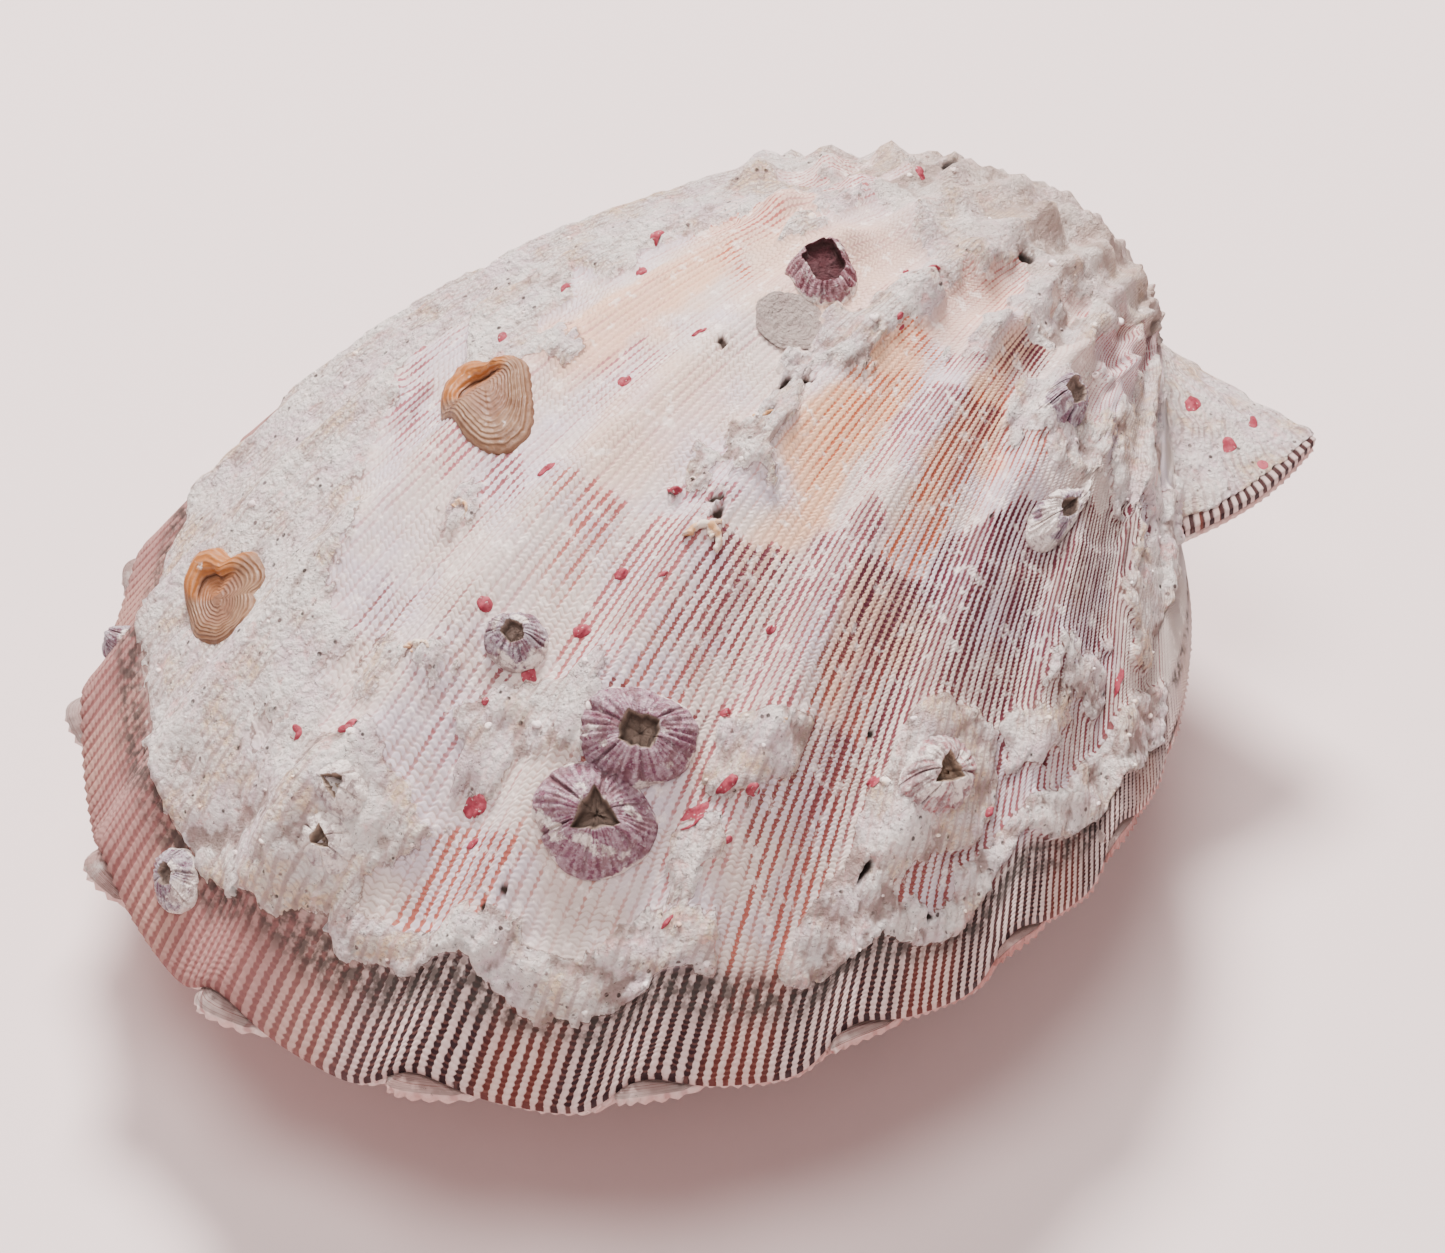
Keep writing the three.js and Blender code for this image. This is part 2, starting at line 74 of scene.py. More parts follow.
# Lime crust on the upper valve: fan, growth, half fan, half growth, cover, lumpiness.
CRUST_PATCHES = [
    (-24, 0.84, 22, 0.12, 0.95, 0.4), (-13, 0.61, 8, 0.045, 0.8, 0.45),
    (-27, 0.5, 13, 0.25, 0.75, 0.4), (-3, 0.915, 10, 0.036, 1.0, 0.75),
    (2, 0.885, 5, 0.045, 0.85, 0.9), (0.5, 0.8, 5, 0.04, 0.45, 0.5),
    (-2.5, 0.71, 3, 0.025, 0.55, 0.7), (10.5, 0.47, 3.0, 0.055, 1.0, 1.0),
    (9.8, 0.575, 2.2, 0.055, 0.75, 0.9), (10, 0.405, 3.2, 0.022, 0.6, 0.7),
    (9.5, 0.79, 3.2, 0.03, 0.95, 0.8), (8.3, 0.84, 1.6, 0.04, 0.5, 0.6),
    (12.5, 0.932, 7.5, 0.022, 1.0, 1.0), (18.5, 0.925, 6, 0.032, 1.0, 1.0),
    (20.6, 0.79, 2.3, 0.036, 1.0, 0.95), (20, 0.865, 1.7, 0.045, 0.65, 0.7),
    (28.5, 0.9, 4.2, 0.05, 1.0, 0.9), (30.5, 0.83, 4.4, 0.065, 0.95, 0.6),
    (36, 0.925, 6, 0.035, 1.0, 0.95), (43, 0.92, 5, 0.05, 0.9, 0.8), (38, 0.8, 4, 0.07, 0.55, 0.6),
    (31, 0.49, 4.4, 0.075, 0.52, 0.6), (36, 0.44, 6, 0.13, 0.5, 0.7),
    (43, 0.52, 7, 0.15, 0.62, 0.7), (47, 0.74, 5, 0.12, 0.7, 0.6), (25, 0.36, 7, 0.05, 0.85, 0.9),
    (19.8, 0.43, 1.6, 0.03, 0.75, 0.6), (25, 0.22, 30, 0.11, 1.0, 1.0),
    (8, 0.32, 9, 0.055, 0.8, 0.9), (-2, 0.24, 30, 0.11, 0.75, 0.9), (-7, 0.4, 4, 0.05, 0.6, 0.8),
    (-16, 0.4, 9, 0.09, 0.6, 0.7), (-42, 0.5, 10, 0.3, 0.6, 0.6),
]
# Windows in the crust where bare riblets show: fan, growth, half fan, half growth, cover taken.
CRUST_WINDOWS = [
    (24.3, 0.91, 1.3, 0.034, 1.0), (31.6, 0.905, 1.4, 0.026, 0.9), (15.2, 0.905, 2.0, 0.018, 0.8),
    (6.5, 0.915, 1.6, 0.022, 0.5), (-9, 0.5, 4, 0.09, 0.9), (-8, 0.69, 5, 0.025, 0.8),
    (23.5, 0.33, 2.0, 0.05, 0.5), (16, 0.36, 2.6, 0.05, 0.8),
]
CRUST_THICKNESS = 1.0
# The line where the crust breaks off: fan, growth.
CRUST_EDGE = [
    (-50, 0.940), (-12, 0.935), (-7, 0.945), (-2.5, 0.951), (3.5, 0.963), (7.8, 0.936),
    (9.4, 0.947), (11.6, 0.933), (15.0, 0.957), (18.0, 0.950), (21.4, 0.935), (25.7, 0.951),
    (30.5, 0.951), (33.2, 0.963), (35.3, 0.918), (37.9, 0.929), (43.5, 0.954), (47, 0.970),
]

# Mounds of crust over buried barnacles: fan, growth, radius, height.
MOUNDS = [
    (0.9, 0.883, 5.0, 2.4), (1.5, 0.917, 5.6, 2.6), (-3, 0.86, 7.0, 1.4), (33, 0.56, 6.0, 1.6),
    (29, 0.87, 5.0, 1.2), (17, 0.915, 6.0, 1.2),
]
# Round knobs that stand out near the beak: fan, growth, radius, height.
BEAK_KNOBS = [
    (-22.0, 0.4, 3.0, 1.3), (-15.0, 0.305, 2.4, 1.4), (-5.1, 0.28, 2.6, 1.8),
    (2.7, 0.245, 2.4, 1.8), (10.5, 0.275, 3.0, 2.0), (17.0, 0.222, 2.8, 2.6),
    (23.0, 0.25, 2.4, 1.8), (31.6, 0.24, 2.2, 1.5), (41.0, 0.26, 2.4, 1.2),
]

# Coloured riblets: fan, growth where the colour starts, growth where it has faded, half fan,
# strength, darkness, warmth.
STRIPES = [
    (15.3, 0.648, 0.8, 2.7, 1.1, 0.75, 0.45), (19.8, 0.612, 0.82, 2.1, 1.0, 0.65, 0.1),
    (24.2, 0.646, 0.84, 2.2, 1.2, 0.9, 0.75), (28.8, 0.61, 0.96, 2.6, 1.2, 0.95, 0.3),
    (34.2, 0.598, 1.02, 3.2, 1.25, 0.95, 0.15), (39.5, 0.6, 1.08, 2.9, 1.1, 0.9, 0.25),
    (45.0, 0.62, 1.12, 3.4, 1.0, 0.9, 0.3), (10.2, 0.616, 0.65, 2.2, 0.8, 0.55, 0.0),
    (10.2, 0.655, 0.84, 2.3, 0.8, 0.5, 0.25), (4.2, 0.664, 0.72, 3.0, 0.75, 0.5, 0.45),
    (-2.2, 0.655, 0.72, 2.0, 0.8, 0.55, 0.1), (-2.2, 0.54, 0.64, 2.0, 0.6, 0.35, 0.0),
    (-2.2, 0.76, 0.86, 2.0, 0.35, 0.6, 0.1), (-8.5, 0.665, 0.72, 4.0, 0.7, 0.45, 0.1),
    (-14.0, 0.68, 0.73, 3.4, 1.2, 0.55, 0.0), (15.3, 0.452, 0.485, 2.5, 0.8, 0.35, 0.9),
    (15.3, 0.487, 0.64, 2.5, 0.65, 0.1, 1.0), (19.7, 0.445, 0.48, 2.0, 0.8, 0.55, 0.05),
    (19.7, 0.492, 0.612, 2.0, 1.05, 0.6, 0.1), (24.1, 0.424, 0.5, 2.1, 1.2, 0.8, 0.8),
    (24.1, 0.485, 0.7, 2.1, 1.2, 0.65, 0.9), (28.8, 0.5, 0.62, 2.4, 0.8, 0.6, 0.6),
    (15.0, 0.76, 0.93, 3.0, 0.6, 0.7, 0.6), (19.8, 0.76, 0.92, 2.2, 0.8, 0.55, 0.25),
    (24.3, 0.77, 0.99, 2.2, 1.0, 0.7, 0.6), (31.5, 0.87, 1.0, 3.0, 1.0, 0.7, 0.5),
    (4.2, 0.76, 0.89, 3.2, 0.4, 0.6, 0.15), (10.0, 0.86, 0.99, 2.6, 0.7, 0.45, 0.6),
    (10.2, 0.42, 0.45, 2.2, 0.8, 0.55, 0.0), (16.5, 0.3, 0.44, 5.0, 0.6, 0.3, 0.35),
    (-4.5, 0.47, 0.505, 2.6, 0.7, 0.2, 0.8), (-9.0, 0.42, 0.52, 4.0, 0.5, 0.2, 0.5),
    (-14.0, 0.34, 0.42, 9.0, 0.7, 0.2, 0.25), (-10.0, 0.235, 0.33, 14.0, 0.85, 0.2, 0.25),
    (31.0, 0.33, 0.44, 5.0, 0.6, 0.35, 0.25), (40.0, 0.3, 0.6, 9.0, 0.6, 0.5, 0.1),
    (-30.0, 0.66, 0.78, 14.0, 0.6, 0.4, 0.15), (-30.0, 0.42, 0.64, 16.0, 0.5, 0.3, 0.25),
]

# Warm tints of the bare shell: fan, growth, half fan, half growth, strength.
PEACH_AREAS = [
    (15.2, 0.545, 2.6, 0.11, 1.0), (24.1, 0.5, 2.1, 0.12, 0.8), (-7, 0.55, 3.5, 0.09, 0.8),
    (24.1, 0.71, 2.0, 0.06, 0.6), (-9, 0.44, 6, 0.05, 0.6), (2, 0.44, 7, 0.06, 0.5),
    (3, 0.6, 4, 0.06, 0.35), (16, 0.4, 4, 0.05, 0.5),
]

# Pits and bore holes in the shell: fan, growth, radius, depth.
PITS = [
    (9.0, 0.533, 0.85, 1.2), (10.4, 0.53, 0.95, 1.4), (9.9, 0.559, 0.6, 0.9),
    (2.8, 0.536, 0.85, 0.8), (11.1, 0.636, 1.0, 1.6), (11.9, 0.645, 0.85, 1.5),
    (-1.6, 0.738, 0.55, 0.8), (1.9, 0.793, 0.6, 0.8), (-17.7, 0.932, 1.1, 1.4),
    (28.1, 0.881, 1.05, 1.8), (23.9, 0.885, 0.45, 1.2), (23.5, 0.893, 0.4, 1.0),
    (37.6, 0.865, 0.65, 1.2), (26.3, 0.77, 0.55, 0.9), (31.8, 0.933, 0.6, 1.0),
    (-6.3, 0.278, 1.3, 1.5), (15.6, 0.316, 1.2, 1.2), (23.5, 0.3, 1.3, 1.4),
    (28.9, 0.613, 0.7, 0.6), (22.9, 0.639, 0.5, 0.5), (12.3, 0.893, 0.7, 0.6),
    (11.8, 0.906, 0.6, 0.6),
]

# Patches of red and pink algae: fan, growth, diameter.
SPOTS = [
    (8.6, 0.729, 1.9), (3.3, 0.749, 1.6), (7.5, 0.765, 1.9), (6.4, 0.789, 0.9),
    (-1.6, 0.854, 1.5), (1.2, 0.845, 1.8), (8.6, 0.842, 2.7), (9.5, 0.864, 1.2),
    (18.9, 0.827, 2.6), (20.1, 0.817, 2.1), (21.5, 0.824, 1.6), (19.7, 0.899, 1.2),
    (21.3, 0.857, 0.9), (8.6, 0.689, 1.5), (11.4, 0.696, 0.8), (8.0, 0.628, 1.5),
    (0.1, 0.660, 1.9), (0.1, 0.532, 1.4), (-1.3, 0.582, 1.6), (-13.1, 0.624, 1.2),
    (-14.0, 0.502, 1.8), (-11.4, 0.520, 1.5), (-14.3, 0.574, 1.4), (11.2, 0.409, 1.3),
    (8.2, 0.398, 1.3), (12.8, 0.459, 1.3), (27.2, 0.808, 1.4), (34.1, 0.861, 1.2),
    (42.8, 0.846, 2.4), (-6.3, 0.305, 1.6), (18.3, 0.699, 1.1), (18.1, 0.757, 1.2),
    (60.0, 0.62, 2.4), (70.5, 0.76, 2.0), (64.0, 0.80, 2.2), (68.0, 0.93, 1.4),
]

# Acorn barnacles as in the solids: node, fan, growth, radius, height, mouth, corners, lean,
# the turn of the mouth in degrees, and the kind of wall.
BARNACLES = [
    ("barnacle_striped", 14.7, 0.787, 5.5, 3.2, 2.3, 4, 0.5, 38, "plum"),
    ("barnacle_mottled", 14.6, 0.840, 5.7, 3.1, 2.7, 3, 0.8, 4, "plum"),
    ("barnacle_small", 5.9, 0.753, 3.2, 2.2, 1.3, 5, 0.6, 0, "grey"),
    ("barnacle_chipped", 30.8, 0.829, 4.5, 2.5, 2.1, 3, 0.4, 12, "pale"),
    ("barnacle_beak", 30.7, 0.480, 3.9, 1.5, 1.9, 5, 0.9, 10, "grey"),
    ("barnacle_flank", 34.2, 0.598, 4.0, 2.0, 1.6, 4, 0.8, 30, "grey"),
    ("barnacle_broken", 3.3, 0.448, 3.9, 1.8, 2.5, 6, 0.0, 0, "torn"),
    ("barnacle_edge", -3.6, 0.964, 3.2, 2.0, 1.2, 5, 0.5, 0, "grey"),
    ("barnacle_dark", -19.0, 0.965, 2.4, 1.8, 0.9, 4, 0.2, 0, "grey"),
    ("barnacle_overgrown_1", 2.9, 0.875, 3.0, 2.4, 1.4, 3, 0.4, 50, "white"),
    ("barnacle_overgrown_2", 3.6, 0.900, 3.0, 2.4, 1.3, 3, 0.4, 0, "white"),
]
# Kinds of barnacle wall: light, dark and inner colour, and how far crust has grown over it.
WALLS = {
    "plum": ((0.52, 0.36, 0.41), (0.20, 0.06, 0.105), (0.28, 0.195, 0.155), 0.0),
    "grey": ((0.60, 0.52, 0.56), (0.20, 0.09, 0.14), (0.34, 0.24, 0.20), 0.25),
    "pale": ((0.76, 0.66, 0.64), (0.42, 0.13, 0.14), (0.44, 0.30, 0.22), 0.2),
    "white": ((0.80, 0.72, 0.70), (0.62, 0.48, 0.48), (0.44, 0.31, 0.24), 0.85),
    "torn": ((0.52, 0.30, 0.34), (0.16, 0.03, 0.05), (0.07, 0.015, 0.02), 0.3),
    "plate": ((0.44, 0.35, 0.32), (0.27, 0.20, 0.18), (0.40, 0.315, 0.285), 0.0),
}
# From foot to mouth to floor: share of the way in from the foot to the mouth, share of the
# height, and how far inside.
BARNACLE_PROFILE = [
    (-0.04, -0.35, 0), (-0.02, -0.05, 0), (0.02, 0.08, 0), (0.09, 0.20, 0), (0.18, 0.33, 0),
    (0.28, 0.46, 0), (0.38, 0.58, 0), (0.48, 0.69, 0), (0.58, 0.78, 0), (0.68, 0.86, 0),
    (0.78, 0.92, 0), (0.88, 0.97, 0), (0.96, 1.0, 0), (1.02, 0.98, 0.3), (1.05, 0.86, 0.6),
    (1.08, 0.70, 0.7), (1.12, 0.54, 0.75), (1.20, 0.40, 0.65), (1.36, 0.32, 0.45),
    (1.55, 0.29, 0.4),
]
BARNACLE_COLUMNS = 320
# Ribs of a barnacle, and the radius from which it has the larger number.
BARNACLE_RIBS, SMALL_BARNACLE_RIBS, LARGE_BARNACLE = 40, 26, 5
# The base plate of a barnacle that has fallen off: fan, growth, radius, rays.
SCAR = (5.2, 0.491, 3.6, 30)

# Cup shells: node, fan, growth, length, width, height, turn, where the lip is raised, and how far
# the foot runs out beyond the oval.
CUP_SHELLS = [
    ("cup_shell_1", -8.3, 0.656, 8.0, 4.9, 1.9, 4, 163, 0.0),
    ("cup_shell_2", -13.2, 0.860, 8.0, 4.2, 1.9, 27, 178, 0.5),
]
# A cup shell from its rim to its middle: share of the size, height away from the raised lip,
# height under it.
CUP_PROFILE = [
    (1.04, -0.30, -0.30), (1.00, 0.00, 0.00), (0.97, 0.12, 0.18), (0.93, 0.22, 0.42),
    (0.88, 0.30, 0.68), (0.83, 0.36, 0.88), (0.78, 0.40, 0.98), (0.73, 0.43, 1.00),
    (0.68, 0.44, 0.96), (0.64, 0.44, 0.82), (0.60, 0.42, 0.58), (0.55, 0.39, 0.40),
    (0.48, 0.34, 0.30), (0.38, 0.29, 0.26), (0.26, 0.26, 0.25), (0.12, 0.25, 0.25),
]
CUP_COLUMNS = 160

# Worm tubes: fan, growth, length, curl in turns, tube radius, turn.
WORM_TUBES = [
    (13.1, 0.670, 5.6, 0.55, 0.55, 75),
    (12.6, 0.652, 2.6, 0.40, 0.35, 200),
    (1.6, 0.795, 3.2, 0.80, 0.30, 10),
    (2.4, 0.789, 2.2, 0.50, 0.26, 120),
    (-2.4, 0.706, 3.0, 0.60, 0.28, 80),
    (21.5, 0.775, 3.0, 0.90, 0.30, 150),
    (9.0, 0.560, 2.5, 0.60, 0.30, 250),
]

# Loose-looking grains of lime: places tried, largest and smallest size.
GRAIN_COUNT, GRAIN_LARGEST, GRAIN_SMALLEST = 9000, 0.50, 0.16

# Zones of a valve's mesh: growths, and columns to a riblet.
UPPER_ZONES = [
    (np.concatenate([np.linspace(0.035, 0.21, 14), np.linspace(0.221, 0.47, 30)]), 1),
    (np.concatenate([np.arange(0.48, 0.93, 0.0062), np.linspace(0.932, 1.0, 19)]), 3),
]
LOWER_ZONES = [
    (np.linspace(0.035, 0.43, 26), 1),
    (np.concatenate([np.arange(0.44, 0.95, 0.008), np.linspace(0.955, 1.0, 11)]), 2),
]
INNER_ROWS = [0.12, 0.3, 0.5, 0.7, 0.87, 1.0]

# Colours, linear.
# The crust's brightest white is a painted highlight on the tops of its grains.
CRUST_WHITE, CRUST_HIGHLIGHT = (1.0, 0.865, 0.81), (1.0, 0.93, 0.89)
CRUST_LILAC, CRUST_OCHRE = (0.88, 0.68, 0.70), (0.90, 0.62, 0.39)
CRUST_PINK, CRUST_SHADE = (0.85, 0.45, 0.42), (0.36, 0.235, 0.205)
CRUST_SPECK, CRUST_TRACE = (0.12, 0.075, 0.06), (0.50, 0.32, 0.30)
# The crust's warm brown toward the beak is its own tone and also painted shade.
CRUST_BEAK_TONE_AND_SHADE, CRUST_EDGE_DIRT_AND_SHADOW = (0.60, 0.44, 0.37), (0.13, 0.07, 0.055)
# The crust's near-black colour under its edge is dirt with painted shadow.
CRUST_DIRT_AND_SHADOW, HOLE_SHADE = (0.045, 0.035, 0.03), (0.03, 0.015, 0.01)
SHELL_CREAM, SHELL_LILAC = (0.66, 0.54, 0.495), (0.62, 0.52, 0.565)
SHELL_PEACH, SHELL_BLOTCH = (0.80, 0.42, 0.215), (0.60, 0.45, 0.42)
SHELL_UMBO, SHELL_LINE = (0.54, 0.37, 0.33), (0.36, 0.22, 0.17)
STRIPE_PINK, STRIPE_MAROON = (0.36, 0.115, 0.14), (0.085, 0.008, 0.02)
STRIPE_RUST, MARGIN_DARK = (0.45, 0.095, 0.03), (0.024, 0.004, 0.006)
MARGIN_RUST, MARGIN_PINK = (0.13, 0.022, 0.015), (0.20, 0.055, 0.055)
MARGIN_LINE, CORD_LINE = (0.34, 0.13, 0.10), (0.45, 0.25, 0.22)
CORD_WHITE, CORD_PINK, CORD_WARM = (0.66, 0.50, 0.47), (0.38, 0.195, 0.175), (0.62, 0.38, 0.28)
LOWER_PINK, LOWER_PALE = (0.66, 0.42, 0.38), (0.74, 0.56, 0.52)
LOWER_BAND, LOWER_FURROW = (0.42, 0.17, 0.15), (0.30, 0.09, 0.09)
# The third wall colour is painted shade for the wall's crevices.
WALL_FLECK, WALL_SEAM, WALL_CREVICE_SHADE = (0.80, 0.73, 0.73), (0.20, 0.09, 0.11), (0.22, 0.10, 0.11)
CUP_DARK, CUP_BROWN, CUP_ORANGE = (0.15, 0.062, 0.028), (0.26, 0.14, 0.08), (0.38, 0.125, 0.025)
CUP_RING, CUP_GROOVE = (0.44, 0.27, 0.18), (0.17, 0.07, 0.035)
# The cup's crevice colour is painted shade.
CUP_BOWL, CUP_CREVICE_SHADE = (0.25, 0.115, 0.075), (0.12, 0.045, 0.02)
ALGAE_DARK, ALGAE_RED = (0.21, 0.012, 0.028), (0.36, 0.055, 0.08)
WORM_ORANGE, WORM_PALE = (0.62, 0.33, 0.16), (0.76, 0.62, 0.52)
FLOOR_PALE, FLOOR_PALER = (0.80, 0.66, 0.65), (0.775, 0.64, 0.63)

# The studio: half the floor in metres, then lights as name, place, size, power and colour.
FLOOR_HALF = 3.0
LIGHTS = [
    ("key", (-0.45, 0.35, 0.95), 0.34, 31.0, (1.0, 0.965, 0.94)),
    ("top", (0.10, -0.25, 1.2), 0.6, 12.0, (1.0, 0.945, 0.92)),
    ("fill", (0.7, -0.6, 0.7), 1.0, 3.0, (1.0, 0.94, 0.94)),
]
LIGHTS_AIM = (0.0, 0.0, 0.04)
WORLD_COLOUR, WORLD_POWER = (1.0, 0.93, 0.93, 1.0), 0.27


def smooth(x, a, b):
    """A smooth step that is 0 at a and 1 at b, whichever is larger."""
    t = np.clip((x - a) / (b - a), 0.0, 1.0)
    return t * t * (3 - 2 * t)


def mix(a, b, t):
    return a + (b - a) * t


# Value noise on a hashed lattice, from -1 to 1.
def lattice(cell, seed):
    x, y, z = (cell[..., i].astype(np.int64).astype(np.uint64) for i in range(3))
    n = x * np.uint64(73856093) ^ y * np.uint64(19349663) ^ z * np.uint64(83492791)
    n = n ^ np.uint64(seed * 2654435761 % 2**32)
    n = (n ^ (n >> np.uint64(13))) * np.uint64(1274126177)
    n = (n ^ (n >> np.uint64(16))) * np.uint64(2246822519)
    return ((n >> np.uint64(8)) & np.uint64(0xFFFFFF)).astype(float) / 0xFFFFFF


def noise(points, size, seed):
    p = points / size
    cell = np.floor(p)
    t = p - cell
    t = t * t * (3 - 2 * t)
    total = np.zeros(p.shape[:-1])
    for corner in np.ndindex(2, 2, 2):
        weight = np.ones(p.shape[:-1])
        for axis in range(3):
            weight = weight * (t[..., axis] if corner[axis] else 1 - t[..., axis])
        total += weight * lattice(cell + np.array(corner), seed)
    return 2 * total - 1


def fractal(points, size, octaves, seed):
    total, share = 0.0, 1.0
    for octave in range(octaves):
        total = total + share * noise(points, size, seed + octave)
        size, share = size / 2.1, share * 0.5
    return total


def grains(points, size, seed):
    """Rounded grains: 1 in the middle of a grain, falling to 0 between grains."""
    p = points / size
    cell = np.floor(p)
    nearest = np.full(p.shape[:-1], 9.0)
    for step in np.ndindex(3, 3, 3):
        c = cell + np.array(step) - 1
        centre = np.stack([c[..., i] + lattice(c, seed + i) for i in range(3)], -1)
        nearest = np.minimum(nearest, ((p - centre) ** 2).sum(-1))
    return np.clip(1 - nearest / 0.7, 0, 1)


# The form of a valve.
def rib_at(fan):
    inside = np.clip(fan / RIB_REACH, -0.9, 0.9)
    return RIB_REACH / RIB_PITCH * np.arctanh(inside) - RIB_SHIFT


def rib_wave(fan):
    """Height of the ribs, from -1 in a groove to 1 on a crest, with the crests set to the left."""
    turn = 2 * np.pi * rib_at(fan)
    return np.cos(turn + RIB_LEAN * (1 + np.cos(turn)) / 2)


def fan_at(rib):
    return RIB_REACH * np.tanh((rib + RIB_SHIFT) * RIB_PITCH / RIB_REACH)


def disc_radius(fan):
    centre = HEIGHT - DISC_HALF_LENGTH
    sine, cosine = np.sin(np.radians(fan)), np.cos(np.radians(fan))
    a = (sine / DISC_HALF_WIDTH) ** 2 + (cosine / DISC_HALF_LENGTH) ** 2
    b = -2 * cosine * centre / DISC_HALF_LENGTH**2
    c = (centre / DISC_HALF_LENGTH) ** 2 - 1
    return (-b + np.sqrt(np.maximum(b * b - 4 * a * c, 0))) / (2 * a)


def margin(fan):
    """x, y, rise and arch of the margin where the valves meet."""
    f = np.abs(fan)
    on_disc = np.radians(np.minimum(f, DISC_FAN))
    r = disc_radius(np.degrees(on_disc))
    to_notch = np.clip((f - DISC_FAN) / (NOTCH_FAN - DISC_FAN), 0, 1)
    to_tip = np.clip((f - NOTCH_FAN) / (EAR_FAN - NOTCH_FAN), 0, 1)
    x = mix(mix(r * np.sin(on_disc), NOTCH_X, to_notch), EAR_X, to_tip)
    x = x + EAR_BULGE * np.sin(np.pi * to_tip)
    y = mix(-r * np.cos(on_disc), -NOTCH_Y, to_notch) * (1 - to_tip)
    wave = rib_wave(fan) * smooth(f, RIB_FADE_TO, RIB_FADE_FROM)
    return np.sign(fan) * x, y, RIB_RISE * wave, np.maximum(wave, 0)


def rim_reach(valve, arch):
    """How far the rim reaches. The lower rim stands out under the arches and is worn between."""
    worn = RIM_RECESS if valve["ledge"] else 0.0
    return 1 + (valve["ledge"] * arch - worn * smooth(arch, 0.25, 0.0)) / HEIGHT


def bare_point(valve, fan, growth, ribs=1.0):
    fan, growth = np.broadcast_arrays(np.asarray(fan, float), np.asarray(growth, float))
    x, y, rise, arch = margin(fan)
    reach = rim_reach(valve, arch)
    turn = valve["coil"] * np.log(1 / growth) + valve["lean"] * (1 - growth)
    y = reach * y
    rise = valve["side"] * rise * ribs
    up = growth * (rise * np.cos(turn) - y * np.sin(turn)) + LIP
    back = growth * (y * np.cos(turn) + rise * np.sin(turn))
    return np.stack([growth * reach * x, back, valve["side"] * up], -1)


def outward(valve, fan, growth):
    """Unit normal of the valve's smooth form."""
    f = np.clip(fan, 0.5 - DISC_FAN, DISC_FAN - 0.5)
    g = np.minimum(growth, 0.985)
    along = bare_point(valve, f, g + 0.01, 0) - bare_point(valve, f, g - 0.01, 0)
    across = bare_point(valve, f + 0.4, g, 0) - bare_point(valve, f - 0.4, g, 0)
    n = np.cross(along, across)
    return valve["side"] * n / np.linalg.norm(n, axis=-1, keepdims=True)


def swelling(fan, growth, lump):
    """Height at a place of one rounded lump: fan, growth, radius, height."""
    across = np.radians(fan - lump[0]) * growth * HEIGHT
    along = (growth - lump[1]) * HEIGHT * 1.15
    return lump[3] * np.exp(-1.4 * (across**2 + along**2) / lump[2] ** 2)


def patches(fan, growth, areas, soft=0.35):
    """The strongest of a list of oval areas at each place."""
    strongest = np.zeros(np.shape(fan))
    for centre, middle, half_fan, half_growth, strength, *_ in areas:
        d = np.hypot((fan - centre) / half_fan, (growth - middle) / half_growth)
        strongest = np.maximum(strongest, strength * smooth(d, 1 + soft, 1 - soft))
    return strongest


def crust_edge(fan):
    """Growth at which the crust breaks off in a ledge."""
    fans, growths = zip(*CRUST_EDGE)
    return np.interp(fan, fans, growths)


def warped(fan, growth, points):
    """Fan and growth shifted by noise, so that areas get ragged edges."""
    return (
        fan + 1.3 * fractal(points, 6.0, 3, 11) / np.maximum(growth, 0.3),
        growth + 0.013 * fractal(points, 6.0, 3, 17),
    )


def crust_cover(fan, growth, points):
    """How thick the crust is, from 0 to 1, and how lumpy."""
    f, g = warped(fan, growth, points)
    cover = patches(f, g, CRUST_PATCHES)
    cover = cover * (1 - patches(f, g, CRUST_WINDOWS))
    lumpy = np.zeros(np.shape(fan))
    weight = np.full(np.shape(fan), 1e-3)
    for centre, middle, half_fan, half_growth, strength, lumpiness in CRUST_PATCHES:
        d = np.hypot((f - centre) / half_fan, (g - middle) / half_growth)
        w = strength * np.exp(-2 * d * d)
        lumpy += w * lumpiness
        weight += w
    ears = smooth(np.abs(fan), DISC_FAN - 1, NOTCH_FAN + 1) * smooth(growth, 1.0, 0.93)
    cover = np.maximum(cover, ears * 0.9)
    tips = smooth(np.abs(fan), NOTCH_FAN, NOTCH_FAN + 4) * smooth(growth, 0.995, 0.97)
    ragged = crust_edge(fan) + 0.006 * fractal(points, 3.5, 3, 23)
    inside = np.maximum(smooth(growth, ragged + 0.002, ragged - 0.006), np.maximum(ears, tips))
    return cover * inside, lumpy / weight


# Knobs along the crests near the beak, and flat scales on the lower valve.
def crest_knobs(first, step, rows, height, radius, crest):
    knobs = []
    for row in range(rows):
        growth = first * step**row
        size = growth / first
        for rib in range(-6, 7):
            fan = float(fan_at(rib + crest + (0.12 if row % 2 else -0.12)))
            edge = float(smooth(abs(fan), 46.0, 34.0))
            knobs.append((fan, growth, radius * size**0.7, height * size**1.3 * edge))
    return [knob for knob in knobs if abs(knob[0]) < 46]


UPPER_KNOBS = crest_knobs(0.42, 0.86, 7, 2.1, 3.1, -0.14)
LOWER_SCALES = crest_knobs(0.96, 0.9, 9, 0.9, 4.0, 0.5)


def cord_profile(riblet):
    """Height across the riblets: round cords with narrower furrows between them."""
    return smooth(np.cos(2 * np.pi * riblet), -0.75, 0.7)


